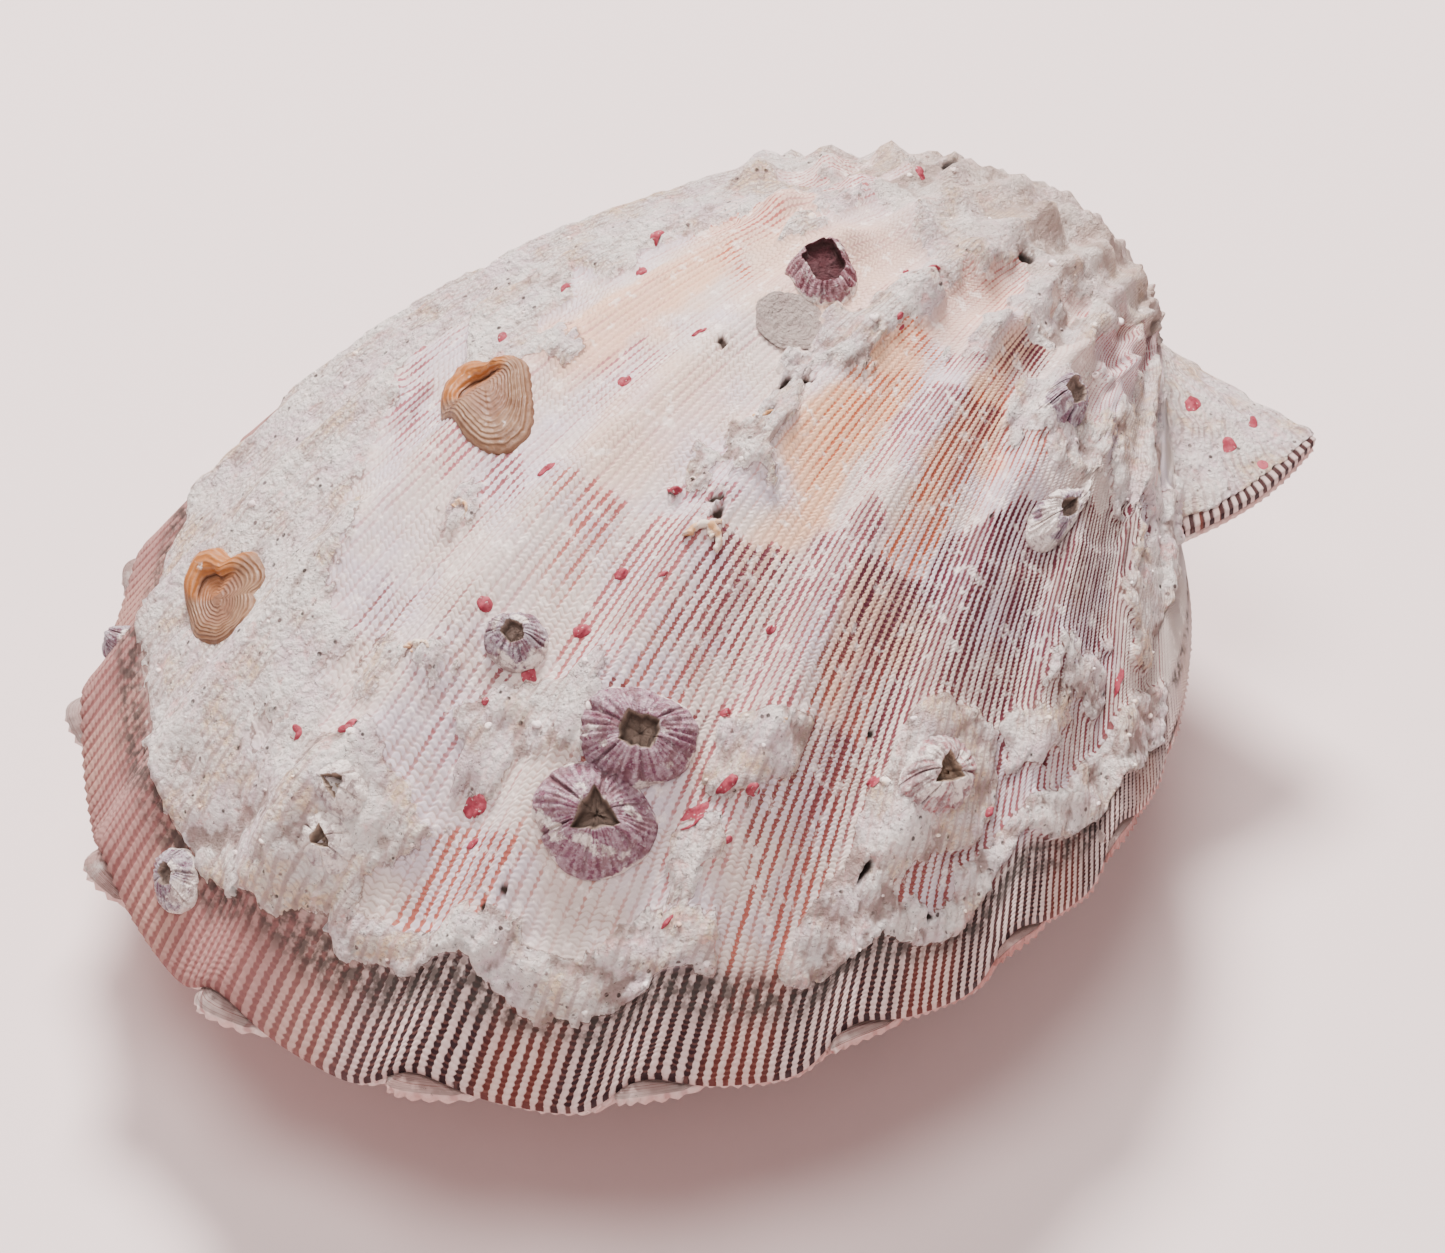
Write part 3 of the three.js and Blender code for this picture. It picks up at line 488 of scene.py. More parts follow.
def upper_relief(riblet, fan, growth, points):
    """Lift of the upper valve's surface, with the crust, the painted shade between lumps and the
    hollow places as masks.
    """
    cover, lumpy = crust_cover(fan, growth, points)
    coarse = fractal(points, 5.0, 4, 31)
    near_beak = smooth(growth, 0.45, 0.22)
    grain = grains(points, 2.9, 41) * (1 - 0.6 * near_beak)
    fine = grains(points, 1.1, 47)
    crusty = smooth(cover + 0.30 * coarse + 0.10 * (fine - 0.5), 0.38, 0.60)
    calm = mix(0.30, 1.0, smooth(growth, 0.18, 0.50))
    calm = calm * (1 - 0.6 * smooth(np.abs(fan), 35, 44) * smooth(growth, 0.66, 0.45))
    lumps = 0.55 + lumpy * calm * (0.45 * coarse + 0.95 * grain + 0.50 * fine)
    size = mix(0.35, 1.0, smooth(growth, 0.1, 0.6))
    height = mix(0.20, 0.30, smooth(growth, 0.90, 0.95))
    cords = height * cord_profile(riblet) * size * (1 - 0.75 * crusty)
    lift = cords + crusty * CRUST_THICKNESS * lumps
    for lump in MOUNDS + BEAK_KNOBS + UPPER_KNOBS:
        lift = lift + swelling(fan, growth, lump)
    knobby = smooth(growth, 0.5, 0.3)
    lift = lift + knobby * (0.3 * fractal(points, 6.0, 2, 53) + 0.15 * grain)
    ears = smooth(np.abs(fan), NOTCH_FAN, NOTCH_FAN + 3) * smooth(growth, 1.0, 0.90)
    lift = lift + ears * (0.9 * fractal(points, 6.0, 3, 57) + 0.4 * grain)
    lift = lift + 0.22 * smooth(growth, 0.646, 0.652) * smooth(growth, 0.72, 0.66) * (1 - crusty)
    hollow = np.zeros(np.shape(fan))
    for pit in PITS:
        depth = swelling(fan, growth, (pit[0], pit[1], pit[2] * 0.9, 1.0))
        bowl = smooth(depth, 0.15, 0.6)
        rim = smooth(depth, 0.02, 0.12) * (1 - bowl)
        lift = lift + 0.25 * rim - pit[3] * bowl
        hollow = np.maximum(hollow, bowl)
    # The gaps between lumps are the mask for painted shade in the crust's colour.
    gaps = smooth(grain + 0.3 * fine + 0.35 * coarse, 0.72, 0.10)
    low = gaps * np.clip(0.30 + lumpy, 0, 1)
    return lift, crusty, low, hollow


def lower_relief(riblet, fan, growth, points):
    cords = 0.30 * cord_profile(riblet) * mix(0.35, 1.0, smooth(growth, 0.1, 0.6))
    lift = cords + 0.25 * fractal(points, 4.0, 3, 61)
    for scale in LOWER_SCALES:
        lift = lift + swelling(fan, growth, scale)
    low = np.clip(0.5 - 0.5 * fractal(points, 5.0, 3, 67), 0, 1)
    return lift, np.zeros(np.shape(fan)), low, np.zeros(np.shape(fan))


def stripe_paint(fan, growth, points):
    """Strength, darkness and warmth of the riblets' colour."""
    f = fan + 0.7 * fractal(points, 5.0, 3, 71)
    g = growth + 0.016 * fractal(points, 5.0, 3, 73)
    strength = np.zeros(np.shape(fan))
    dark = np.zeros(np.shape(fan))
    warm = np.zeros(np.shape(fan))
    for centre, start, end, half_fan, power, darkness, warmth in STRIPES:
        across = smooth(np.abs(f - centre) / half_fan, 1.30, 0.60)
        along = smooth(g, start - 0.005, start + 0.005) * np.clip((end - g) / (end - start), 0, 1)
        s = power * across * along**0.8
        stronger = s > strength
        strength = np.where(stronger, s, strength)
        dark = np.where(stronger, darkness * (0.35 + 0.65 * along), dark)
        warm = np.where(stronger, warmth, warm)
    return strength, dark, warm


# Values kept at every vertex, three to a name, for the materials.
LAYER_NAMES = ("shell", "layers", "paint", "tint")
CHANNELS = 3 * len(LAYER_NAMES)
BLANK = np.zeros(CHANNELS)


def channels(*parts):
    """Values for every vertex from the first few channels. The others are 0."""
    parts = np.broadcast_arrays(*parts, *[0.0] * (CHANNELS - len(parts)))
    return np.stack(parts, -1)


# Rows and columns of a valve's mesh. A place s runs from ear tip to ear tip, one riblet or one
# ear cell to a whole step.
DISC_START = EAR_CELLS + 1
DISC_END = DISC_START + RIBLET_LAST - RIBLET_FIRST
S_END = DISC_END + 1 + EAR_CELLS


def riblet_of(s):
    return s - DISC_START + RIBLET_FIRST


def fan_of(s):
    on_disc = fan_at(riblet_of(np.clip(s, DISC_START, DISC_END)) / RIBLETS)
    first, last = fan_at(RIBLET_FIRST / RIBLETS), fan_at(RIBLET_LAST / RIBLETS)
    left = np.interp(s, [0, EAR_CELLS, DISC_START], [-EAR_FAN, -NOTCH_FAN, first])
    right = np.interp(s, [DISC_END, DISC_END + 1, S_END], [last, NOTCH_FAN, EAR_FAN])
    return np.where(s < DISC_START, left, np.where(s > DISC_END, right, on_disc))


def rested(points):
    """From the shell's own frame to how it rests."""
    angle = math.radians(REST_TILT)
    c, s = math.cos(angle), math.sin(angle)
    x, y, z = points[..., 0], points[..., 1], points[..., 2]
    return np.stack([x, c * y - s * z, s * y + c * z], -1) + np.array(HINGE_AT)


def placed(name, data):
    """A new object in the scene."""
    thing = bpy.data.objects.new(name, data)
    bpy.context.scene.collection.objects.link(thing)
    return thing


class Skin:
    """Collects vertices, their values and triangles of one mesh."""

    def __init__(self):
        self.points, self.values, self.faces = [], [], []
        self.count = 0

    def add(self, points, values):
        points = np.asarray(points, float).reshape(-1, 3)
        values = np.broadcast_to(values.reshape(-1, CHANNELS), (len(points), CHANNELS))
        self.points.append(points)
        self.values.append(values)
        self.count += len(points)
        return np.arange(self.count - len(points), self.count)

    def grid(self, index):
        a, b = index[:-1, :-1].ravel(), index[:-1, 1:].ravel()
        c, d = index[1:, 1:].ravel(), index[1:, :-1].ravel()
        self.faces += [np.stack([a, b, c], -1), np.stack([a, c, d], -1)]

    def zip(self, a, a_places, b, b_places):
        i = j = 0
        rows = []
        while i < len(a) - 1 or j < len(b) - 1:
            ahead = j == len(b) - 1 or (i < len(a) - 1 and a_places[i + 1] <= b_places[j + 1])
            rows.append((a[i], a[i + 1], b[j]) if ahead else (a[i], b[j + 1], b[j]))
            i, j = (i + 1, j) if ahead else (i, j + 1)
        self.faces.append(np.array(rows))

    def fan(self, line, apex):
        self.faces.append(np.array([(line[i + 1], line[i], apex) for i in range(len(line) - 1)]))

    def rings(self, points, values, caps):
        """Closed rings, one to a row. A cap is a row, the point that closes it and its values."""
        index = self.add(points, values).reshape(points.shape[:-1])
        index = np.concatenate([index, index[:, :1]], 1)
        self.grid(index)
        for row, apex, apex_values in caps:
            self.fan(index[row], self.add(apex, apex_values)[0])

    def build(self, name, material, slot):
        points = np.concatenate(self.points) * MM
        faces = np.concatenate(self.faces)
        mesh = bpy.data.meshes.new(name)
        mesh.from_pydata(points.tolist(), [], faces.tolist())
        values = np.concatenate(self.values).astype(np.float32)
        for i, label in enumerate(LAYER_NAMES):
            layer = mesh.attributes.new(label, "FLOAT_VECTOR", "POINT")
            layer.data.foreach_set("vector", values[:, 3 * i : 3 * i + 3].ravel())
        work = bmesh.new()
        work.from_mesh(mesh)
        bmesh.ops.recalc_face_normals(work, faces=work.faces)
        work.to_mesh(mesh)
        work.free()
        mesh.shade_smooth()
        mesh.materials.append(material)
        piece = placed(name, mesh)
        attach(piece, "root")
        return piece


def surface(valve, relief, s, growth):
    """Points and values of a valve's outer surface at a row of places."""
    fan = fan_of(s)
    riblet = riblet_of(s)
    bare = bare_point(valve, fan, growth)
    lift, crusty, low, hollow = relief(riblet, fan, growth, bare)
    at_rim = smooth(growth, 0.994, 1.0)
    teeth = 1 + 0.0035 * (cord_profile(riblet) - 0.4) * smooth(growth, 0.98, 1.0)
    points = bare_point(valve, fan, np.minimum(growth, 1.0)) * teeth[..., None]
    points = points + outward(valve, fan, growth) * (lift * (1 - at_rim))[..., None]
    peach = patches(*warped(fan, growth, bare), PEACH_AREAS)
    shell = (riblet, growth, rib_at(fan))
    paint = stripe_paint(fan, growth, bare)
    return points, channels(*shell, crusty, low, hollow, *paint, peach)


def inner_points(valve, fan, growth):
    bare = bare_point(valve, fan, growth)
    share = mix(DOME_SHARE, 1, growth**8)
    z = valve["side"] * HALF_GAP + (bare[..., 2] - valve["side"] * LIP) * share
    y = INNER_CENTRE_Y + (bare[..., 1] - INNER_CENTRE_Y) * RIM_SHARE
    return np.stack([bare[..., 0] * RIM_SHARE, y, z], -1)


def valve_mesh(valve, relief, zones):
    """The whole skin of a valve. A zone is its growths and its columns to a riblet."""
    skin = Skin()
    lines, growths = [], []
    for rows, fineness in zones:
        s = np.linspace(0, S_END, S_END * fineness + 1)
        growth, place = np.meshgrid(rows, s, indexing="ij")
        points, values = surface(valve, relief, place, growth)
        points = rested(points)
        points[..., 2] = np.maximum(points[..., 2], 0.0)
        index = skin.add(points, values).reshape(growth.shape)
        skin.grid(index)
        if lines:
            skin.zip(lines[-1][0], lines[-1][1], index[0], s)
        lines += [(row, s) for row in index]
        growths += list(rows)
    side = valve["side"]
    skin.fan(lines[0][0], skin.add(rested(np.array([0, 0, side * LIP])), BLANK)[0])
    rim, rim_s = lines[-1]
    x, y, rise, arch = margin(fan_of(rim_s))
    reach = rim_reach(valve, arch)
    meet = np.stack([reach * x, reach * y, rise + side * HALF_GAP], -1)
    rim_values = np.concatenate(skin.values)[rim]
    edge = skin.add(rested(meet), rim_values)
    skin.grid(np.stack([rim, edge]))
    coarse_s = np.linspace(0, S_END, S_END + 1)
    growth, place = np.meshgrid(INNER_ROWS, coarse_s, indexing="ij")
    inner = skin.add(rested(inner_points(valve, fan_of(place), growth)), BLANK)
    inner = inner.reshape(growth.shape)
    skin.grid(inner)
    skin.zip(edge, rim_s, inner[-1], coarse_s)
    pole_y = INNER_CENTRE_Y * (1 - RIM_SHARE)
    skin.fan(inner[0], skin.add(rested(np.array([0, pole_y, side * HALF_GAP])), BLANK)[0])
    for end in (0, -1):
        tip = bare_point(valve, fan_of(rim_s[end]), 1.0)[0]
        hinge = np.zeros((len(growths), 3))
        hinge[:, 0], hinge[:, 2] = np.array(growths) * tip, side * HALF_GAP
        line = skin.add(rested(hinge), BLANK)
        outer = [row[end] for row, _ in lines]
        skin.zip(outer, growths, line, growths)
        skin.zip(line, growths, [row[end] for row in inner], INNER_ROWS)
    return skin


# Shader nodes, written as short calls.
class Paint:
    """A material with its nodes. Inputs may be numbers, colours or sockets."""

    def __init__(self, name):
        self.material = bpy.data.materials.new(name)
        self.material.use_nodes = True
        self.nodes = self.material.node_tree.nodes
        self.links = self.material.node_tree.links
        self.shader = self.nodes["Principled BSDF"]

    def put(self, socket, value):
        if isinstance(value, bpy.types.NodeSocket):
            self.links.new(value, socket)
        elif isinstance(value, tuple) and len(value) == 3 and socket.type == "RGBA":
            socket.default_value = (*value, 1.0)
        else:
            socket.default_value = value

    def node(self, kind, inputs, **settings):
        node = self.nodes.new(kind)
        for key, value in settings.items():
            setattr(node, key, value)
        for key, value in inputs.items():
            self.put(node.inputs[key], value)
        return node

    def math(self, operation, a, b=0.0, c=0.0, clamp=False):
        node = self.node("ShaderNodeMath", {0: a, 1: b, 2: c}, operation=operation)
        node.use_clamp = clamp
        return node.outputs[0]

    def times(self, a, b, clamp=False):
        return self.math("MULTIPLY", a, b, clamp=clamp)

    def plus(self, a, b, clamp=False):
        return self.math("ADD", a, b, clamp=clamp)

    def minus(self, a, b, clamp=False):
        return self.math("SUBTRACT", a, b, clamp=clamp)

    def scaled(self, value, scale, offset):
        return self.math("MULTIPLY_ADD", value, scale, offset)

    def centred(self, value, spread):
        """A value from 0 to 1, spread out on both sides of 0."""
        return self.times(self.minus(value, 0.5), spread)

    def wave(self, turns):
        return self.math("SINE", self.times(turns, 2 * math.pi))

    def step(self, value, low, high, out_low=0.0, out_high=1.0):
        """A smooth step of value between low and high."""
        inputs = {"Value": value, "From Min": low, "From Max": high}
        inputs.update({"To Min": out_low, "To Max": out_high})
        node = self.node("ShaderNodeMapRange", inputs, interpolation_type="SMOOTHSTEP")
        return node.outputs[0]

    def coats(self, colour, *layers):
        """Lay colours over the first one. A layer is its share, from 0 to 1, and its colour."""
        for share, paint in layers:
            node = self.node("ShaderNodeMix", {}, data_type="RGBA")
            for key, value in ((0, share), (6, colour), (7, paint)):
                self.put(node.inputs[key], value)
            colour = node.outputs[2]
        return colour

    def attribute(self, name):
        node = self.node("ShaderNodeAttribute", {}, attribute_name=name)
        parts = self.node("ShaderNodeSeparateXYZ", {0: node.outputs["Vector"]})
        return parts.outputs[0], parts.outputs[1], parts.outputs[2]

    def position(self):
        return self.node("ShaderNodeTexCoord", {}).outputs["Object"]

    def noise_at(self, place, scale, detail, rough):
        inputs = {"Vector": place, "Scale": scale, "Detail": detail, "Roughness": rough}
        return self.node("ShaderNodeTexNoise", inputs).outputs[0]

    def noise(self, size, detail=3.0, rough=0.55):
        """Noise from 0 to 1 with features of a size in millimetres."""
        return self.noise_at(self.position(), 1.0 / (size * MM), detail, rough)

    def streaks(self, x, across, y, along):
        """Noise over two values, with how many features there are to one unit of each."""
        place = self.node("ShaderNodeCombineXYZ", {0: self.times(x, across), 1: self.times(y, along)})
        return self.noise_at(place.outputs[0], 1.0, 3.0, 0.6)

    def cells(self, size):
        """Distance to the nearest of many points, with a size in millimetres between them."""
        inputs = {"Vector": self.position(), "Scale": 1.0 / (size * MM)}
        return self.node("ShaderNodeTexVoronoi", inputs).outputs["Distance"]

    def random(self, number, seed):
        place = self.node("ShaderNodeCombineXYZ", {0: number, 1: seed}).outputs[0]
        node = self.node("ShaderNodeTexWhiteNoise", {"Vector": place}, noise_dimensions="3D")
        return node.outputs["Value"]

    def bump(self, height, distance, strength, normal=None):
        inputs = {"Height": height, "Distance": distance * MM, "Strength": strength}
        if normal is not None:
            inputs["Normal"] = normal
        return self.node("ShaderNodeBump", inputs).outputs[0]

    def finish(self, colour, normal, size, low, high):
        """Roughness goes from low to high in patches of a size in millimetres."""
        rough = self.step(self.noise(size), 0.3, 0.7, low, high)
        for key, value in {"Base Color": colour, "Roughness": rough, "Normal": normal}.items():
            self.put(self.shader.inputs[key], value)
        self.shader.inputs["IOR"].default_value = 1.45
        return self.material


def lamellae(p, riblet, growth, spacing):
    """Fine wavy growth lines as a wave from 0 to 1, arched over each riblet."""
    arch = p.math("COSINE", p.times(riblet, 2 * math.pi))
    phase = p.plus(p.times(growth, HEIGHT / spacing), p.times(arch, 0.22))
    phase = p.plus(phase, p.times(p.streaks(riblet, 0.30, growth, 34.0), 3.2))
    return p.scaled(p.wave(phase), 0.5, 0.5)


def furrow(p, riblet, narrow, wide, waves=None, swell=0.0):
    """1 in the furrow between two riblets, 0 on the cord. Waves comb its edge, swell narrows it."""
    off = p.math("ABSOLUTE", p.minus(p.math("FRACT", riblet), 0.5))
    if waves is not None:
        off = p.plus(p.scaled(p.minus(waves, 0.5), 0.09, off), swell)
    return p.step(off, wide, narrow)


def crust_grit(p):
    """Height of the crust's lumps and grains, about 0 to 0.6."""
    fine = p.scaled(p.noise(0.6, 4.0, 0.76), 1.35, -0.175)
    small = p.times(p.cells(0.85), -0.60)
    lumps = p.times(p.cells(2.1), -0.65)
    return p.plus(p.plus(fine, small), p.plus(lumps, 0.38))


def crust_colour(p, low, grit):
    """Lime crust: white plaster with lilac and ochre stains and dark specks, painted shade in its
    pits, gaps and pinholes, and a painted highlight on its grains.
    """
    blotch = p.noise(3.5)
    # Painted shade in the low places of the grit.
    pit = p.times(p.step(grit, -0.06, -0.30), p.step(blotch, 0.44, 0.62))
    # Painted shade in the gaps between lumps.
    ragged = p.plus(low, p.times(grit, -0.5))
    speck = p.step(p.noise(0.5, 3.0, 0.7), 0.61, 0.67)
    # Pinholes: dots of painted shade standing for tiny holes in the crust.
    pinhole_shade = p.times(p.step(p.cells(1.6), 0.20, 0.13), p.step(blotch, 0.46, 0.54))
    return p.coats(
        CRUST_WHITE,
        (p.step(p.noise(9.0, 2.0), 0.42, 0.60), CRUST_LILAC),
        (p.step(p.noise(6.5), 0.50, 0.64, 0.0, 0.85), CRUST_OCHRE),
        (p.step(blotch, 0.42, 0.32, 0.0, 0.70), CRUST_PINK),
        # Painted highlight on the tops of the grains.
        (p.step(grit, 0.06, 0.36, 0.0, 0.55), CRUST_HIGHLIGHT),
        (p.times(pit, 0.75), CRUST_SHADE),
        (p.step(ragged, 0.20, 0.80, 0.0, 0.85), CRUST_SHADE),
        (p.times(speck, 0.75), CRUST_SPECK),
        (p.times(pinhole_shade, 0.9), HOLE_SHADE),
    )


def bare_colour(p, number, lane, waves, growth, rib):
    """Bare shell with coloured furrows, from the painted stripes and warm areas."""
    strength, dark, warm = p.attribute("paint")
    uneven = p.streaks(number, 3.7, growth, 24.0)
    amount = p.times(strength, p.scaled(p.random(number, 3.0), 0.9, 0.75))
    amount = p.times(amount, p.scaled(waves, -0.40, 1.25))
    amount = p.times(amount, p.step(uneven, 0.28, 0.60, 0.65, 1.6))
    faint = p.scaled(p.random(number, 9.0), 0.32, 0.08)
    faint = p.times(faint, p.step(uneven, 0.35, 0.60, 0.5, 1.3))
    amount = p.math("MAXIMUM", amount, faint)
    swell = p.scaled(amount, -0.075, p.scaled(p.random(number, 7.0), -0.08, 0.09))
    streak = furrow(p, lane, 0.12, 0.20, waves, swell)
    hue = p.coats(STRIPE_PINK, (warm, STRIPE_RUST), (p.step(dark, 0.25, 0.80), STRIPE_MAROON))
    crowd = p.step(p.math("ABSOLUTE", p.wave(rib)), 0.80, 1.0)
    lines = p.times(p.step(waves, 0.35, 0.0), p.step(p.noise(6.5), 0.42, 0.62, 0.08, 0.55))
    return p.coats(
        SHELL_CREAM,
        (p.step(p.noise(11.0, 2.0), 0.40, 0.62), SHELL_LILAC),
        (p.step(p.noise(3.0), 0.48, 0.66, 0.0, 0.45), SHELL_BLOTCH),
        (p.step(growth, 0.52, 0.28, 0.0, 0.6), SHELL_UMBO),
        (p.times(p.attribute("tint")[0], 0.80), SHELL_PEACH),
        (p.times(streak, p.times(amount, 1.3), clamp=True), hue),
        (p.times(crowd, p.times(strength, 0.4)), STRIPE_MAROON),
        (lines, SHELL_LINE),
    )


def strip_colour(p, number, lane, waves, rib):
    """The clean strip outside the crust: near-black and white, pinker on the left."""
    left = p.step(rib, 0.75, -0.2)
    steep = p.step(p.wave(rib), 0.15, 0.9)
    ink = p.coats(
        MARGIN_DARK,
        (p.times(steep, 0.75), MARGIN_RUST),
        (left, MARGIN_PINK),
        (p.step(waves, 0.45, 0.95, 0.0, 0.22), MARGIN_LINE),
    )
    cord = p.coats(
        CORD_WHITE,
        (left, CORD_PINK),
        (p.times(p.random(number, 5.0), 0.30), CORD_PINK),
        (p.times(steep, 0.25), CORD_WARM),
        (p.step(waves, 0.40, 0.05, 0.0, 0.28), CORD_LINE),
    )
    share = p.times(furrow(p, lane, 0.19, 0.285, waves), p.scaled(left, -0.25, 1.0))
    return p.coats(cord, (share, ink))


def upper_material():
    p = Paint("crusted_scallop")
    riblet, growth, rib = p.attribute("shell")
    crusty, low, hollow = p.attribute("layers")
    number = p.math("FLOOR", riblet)
    waves = lamellae(p, riblet, growth, 0.52)
    lane = p.plus(riblet, p.centred(p.noise(2.2, 3.0, 0.6), 0.36))
    outer = p.step(p.plus(growth, p.times(p.noise(3.0), 0.02)), 0.930, 0.952)

    # Crust over both, with dirt and painted shadow along and under its edge, then painted shade in
    # the bore holes.
    edge = p.plus(crusty, p.centred(p.noise(0.8), 1.1))
    thin = p.times(furrow(p, riblet, 0.08, 0.30), p.step(p.noise(3.0), 0.45, 0.65))
    crust = p.minus(p.step(edge, 0.38, 0.50), p.times(thin, 0.40), clamp=True)
    grit = crust_grit(p)
    # Dirt and painted shadow along the crust's edge.
    edge_dirt_and_shadow = p.times(p.step(edge, 0.20, 0.35), p.step(edge, 0.50, 0.38))
    edge_dirt_and_shadow = p.times(edge_dirt_and_shadow, p.step(p.noise(3.5), 0.40, 0.56, 0.1, 0.75))
    edge_dirt_and_shadow = p.times(edge_dirt_and_shadow, p.step(growth, 0.42, 0.60, 0.25, 1.0))
    veil = p.times(crust, p.step(p.noise(6.5), 0.42, 0.54))
    traces = p.math("MAXIMUM", p.step(waves, 0.45, 0.05, 0.0, 0.6), furrow(p, lane, 0.10, 0.26))
    dust = p.times(p.step(p.noise(1.6, 3.0, 0.65), 0.56, 0.68), 0.5)
    # Toward the beak: the crust's warm tone, also painted shade that darkens the top.
    worn = p.step(p.scaled(p.noise(3.0), 0.20, growth), 0.52, 0.34, 0.0, 0.55)
    # Dirt and painted shadow under the crust's edge.
    under = p.times(p.step(growth, 0.928, 0.944), p.step(growth, 0.974, 0.952))
    dirt_and_shadow_below = p.times(p.minus(1.0, crust), under)
    colour = p.coats(
        bare_colour(p, number, lane, waves, growth, rib),
        (outer, strip_colour(p, number, lane, waves, rib)),
        (crust, crust_colour(p, low, grit)),
        # Dirt and painted shadow along the crust's edge.
        (edge_dirt_and_shadow, CRUST_EDGE_DIRT_AND_SHADOW),
        (p.times(p.times(veil, traces), 0.75), CRUST_TRACE),
        (p.times(dust, p.step(growth, 0.955, 0.93)), CRUST_WHITE),
        # Warm tone and painted shade toward the beak.
        (p.times(worn, crust), CRUST_BEAK_TONE_AND_SHADE),
        # Dirt and painted shadow under the crust's edge.
        (p.times(dirt_and_shadow_below, p.step(p.noise(1.2), 0.38, 0.60, 0.15, 0.85)), CRUST_DIRT_AND_SHADOW),
        # Painted shade in the bore holes.
        (p.step(hollow, 0.25, 0.8), HOLE_SHADE),
    )

    # Relief finer than the mesh.
    ridges = p.bump(waves, 0.048, p.scaled(crust, -0.55, 0.9))
    normal = p.bump(grit, 1.05, p.scaled(crust, 0.88, 0.07), ridges)
    return p.finish(colour, normal, 1.2, 0.70, 0.95)


def lower_material():
    p = Paint("pink_scallop")
    riblet, growth, rib = p.attribute("shell")
    chance = p.times(p.random(p.math("FLOOR", riblet), 4.0), 0.6)
    colour = p.coats(
        LOWER_PINK,
        (p.step(p.noise(12.0, 3.0), 0.4, 0.6), LOWER_PALE),
        (p.step(p.streaks(rib, 0.15, growth, 14.0), 0.52, 0.66), LOWER_BAND),
        (p.times(furrow(p, riblet, 0.08, 0.26), chance), LOWER_FURROW),
        (p.times(p.step(p.noise(5.0, 5.0, 0.65), 0.56, 0.66), 0.7), CRUST_WHITE),
        (p.times(p.step(p.noise(0.6, 3.0, 0.7), 0.66, 0.72), 0.6), CRUST_SPECK),
    )
    normal = p.bump(lamellae(p, riblet, growth, 0.75), 0.13, 0.8)
    normal = p.bump(p.noise(0.7, 5.0, 0.6), 0.25, 0.5, normal)
    return p.finish(colour, normal, 1.5, 0.55, 0.85)


def grain_material():
    p = Paint("lime_grains")
    normal = p.bump(p.noise(0.4, 5.0, 0.65), 0.25, 0.8)
    # Grains take an even share of the crust's painted shade between lumps.
    return p.finish(crust_colour(p, 0.3, crust_grit(p)), normal, 0.8, 0.80, 0.98)


def barnacle_material(name, light, dark, flesh):
    """Ribbed plates: 'shell' holds the rib phase and the place from foot to mouth."""
    p = Paint(name)
    phase, climb, _ = p.attribute("shell")
    seam, inside, chalk = p.attribute("layers")
    line = furrow(p, p.plus(phase, p.centred(p.noise(0.8, 5.0, 0.7), 1.3)), 0.12, 0.38)
    share = p.times(line, p.scaled(p.random(p.math("FLOOR", phase), 1.0), 0.5, 0.20))
    mottle = p.step(p.noise(1.3, 6.0, 0.78), 0.56, 0.42, 0.0, 0.60)
    rings = p.math("SINE", p.times(climb, 60.0))
    grit = crust_grit(p)
    colour = p.coats(
        light,
        (p.plus(share, mottle, clamp=True), dark),
        (p.step(rings, 0.5, 1.0, 0.0, 0.15), light),
        (p.step(p.noise(0.6, 5.0, 0.7), 0.57, 0.67, 0.0, 0.65), WALL_FLECK),
        (p.times(seam, 0.6), WALL_SEAM),
        (p.step(p.plus(chalk, p.noise(1.6, 5.0, 0.65)), 0.90, 1.02), CRUST_WHITE),
        # Painted shade in the low places of the grit.
        (p.times(p.step(grit, 0.22, 0.0), 0.6), WALL_CREVICE_SHADE),
        (p.step(inside, 0.1, 0.35), flesh),
        # Painted shade deep inside the mouth.
        (p.times(p.step(inside, 0.55, 0.8), 0.55), HOLE_SHADE),
    )
    normal = p.bump(grit, 0.7, 0.8, p.bump(rings, 0.05, 0.5))
    return p.finish(colour, normal, 1.0, 0.65, 0.95)


def cup_material():
    """Brown horn with rings: 'shell' holds the place from rim to middle and the raised lip."""
    p = Paint("cup_shell_horn")
    _, climb, lip = p.attribute("shell")
    bowl, crevice_shade, chalk = p.attribute("layers")
    rings = p.math("SINE", p.scaled(climb, 75.0, p.times(p.noise(2.0, 4.0), 7.0)))
    colour = p.coats(
        CUP_DARK,
        (p.step(p.noise(2.5, 4.0), 0.35, 0.65), CUP_BROWN),
        (p.step(lip, 0.15, 0.7), CUP_ORANGE),
        (p.step(rings, 0.2, 1.0, 0.0, 0.26), CUP_RING),
        (p.step(rings, -0.3, -1.0, 0.0, 0.30), CUP_GROOVE),
        (p.times(bowl, 0.50), CUP_BOWL),
        # Painted shade in the crease inside the raised lip.
        (p.step(crevice_shade, 0.3, 0.9), CUP_CREVICE_SHADE),
        (p.step(p.plus(chalk, p.noise(1.2, 4.0, 0.6)), 0.98, 1.16), CRUST_WHITE),
    )
    normal = p.bump(rings, 0.07, 0.7)
    normal = p.bump(p.noise(0.6, 4.0, 0.6), 0.14, 0.5, normal)
    return p.finish(colour, normal, 1.0, 0.40, 0.65)


def algae_material():
    p = Paint("red_algae")
    colour = p.coats(
        ALGAE_DARK,
        (p.step(p.noise(1.2, 3.0), 0.35, 0.65), ALGAE_RED),
        (p.times(p.step(p.noise(0.35, 3.0), 0.62, 0.72), 0.5), CRUST_WHITE),
    )
    return p.finish(colour, p.bump(p.noise(0.4, 4.0), 0.15, 0.7), 0.8, 0.55, 0.85)


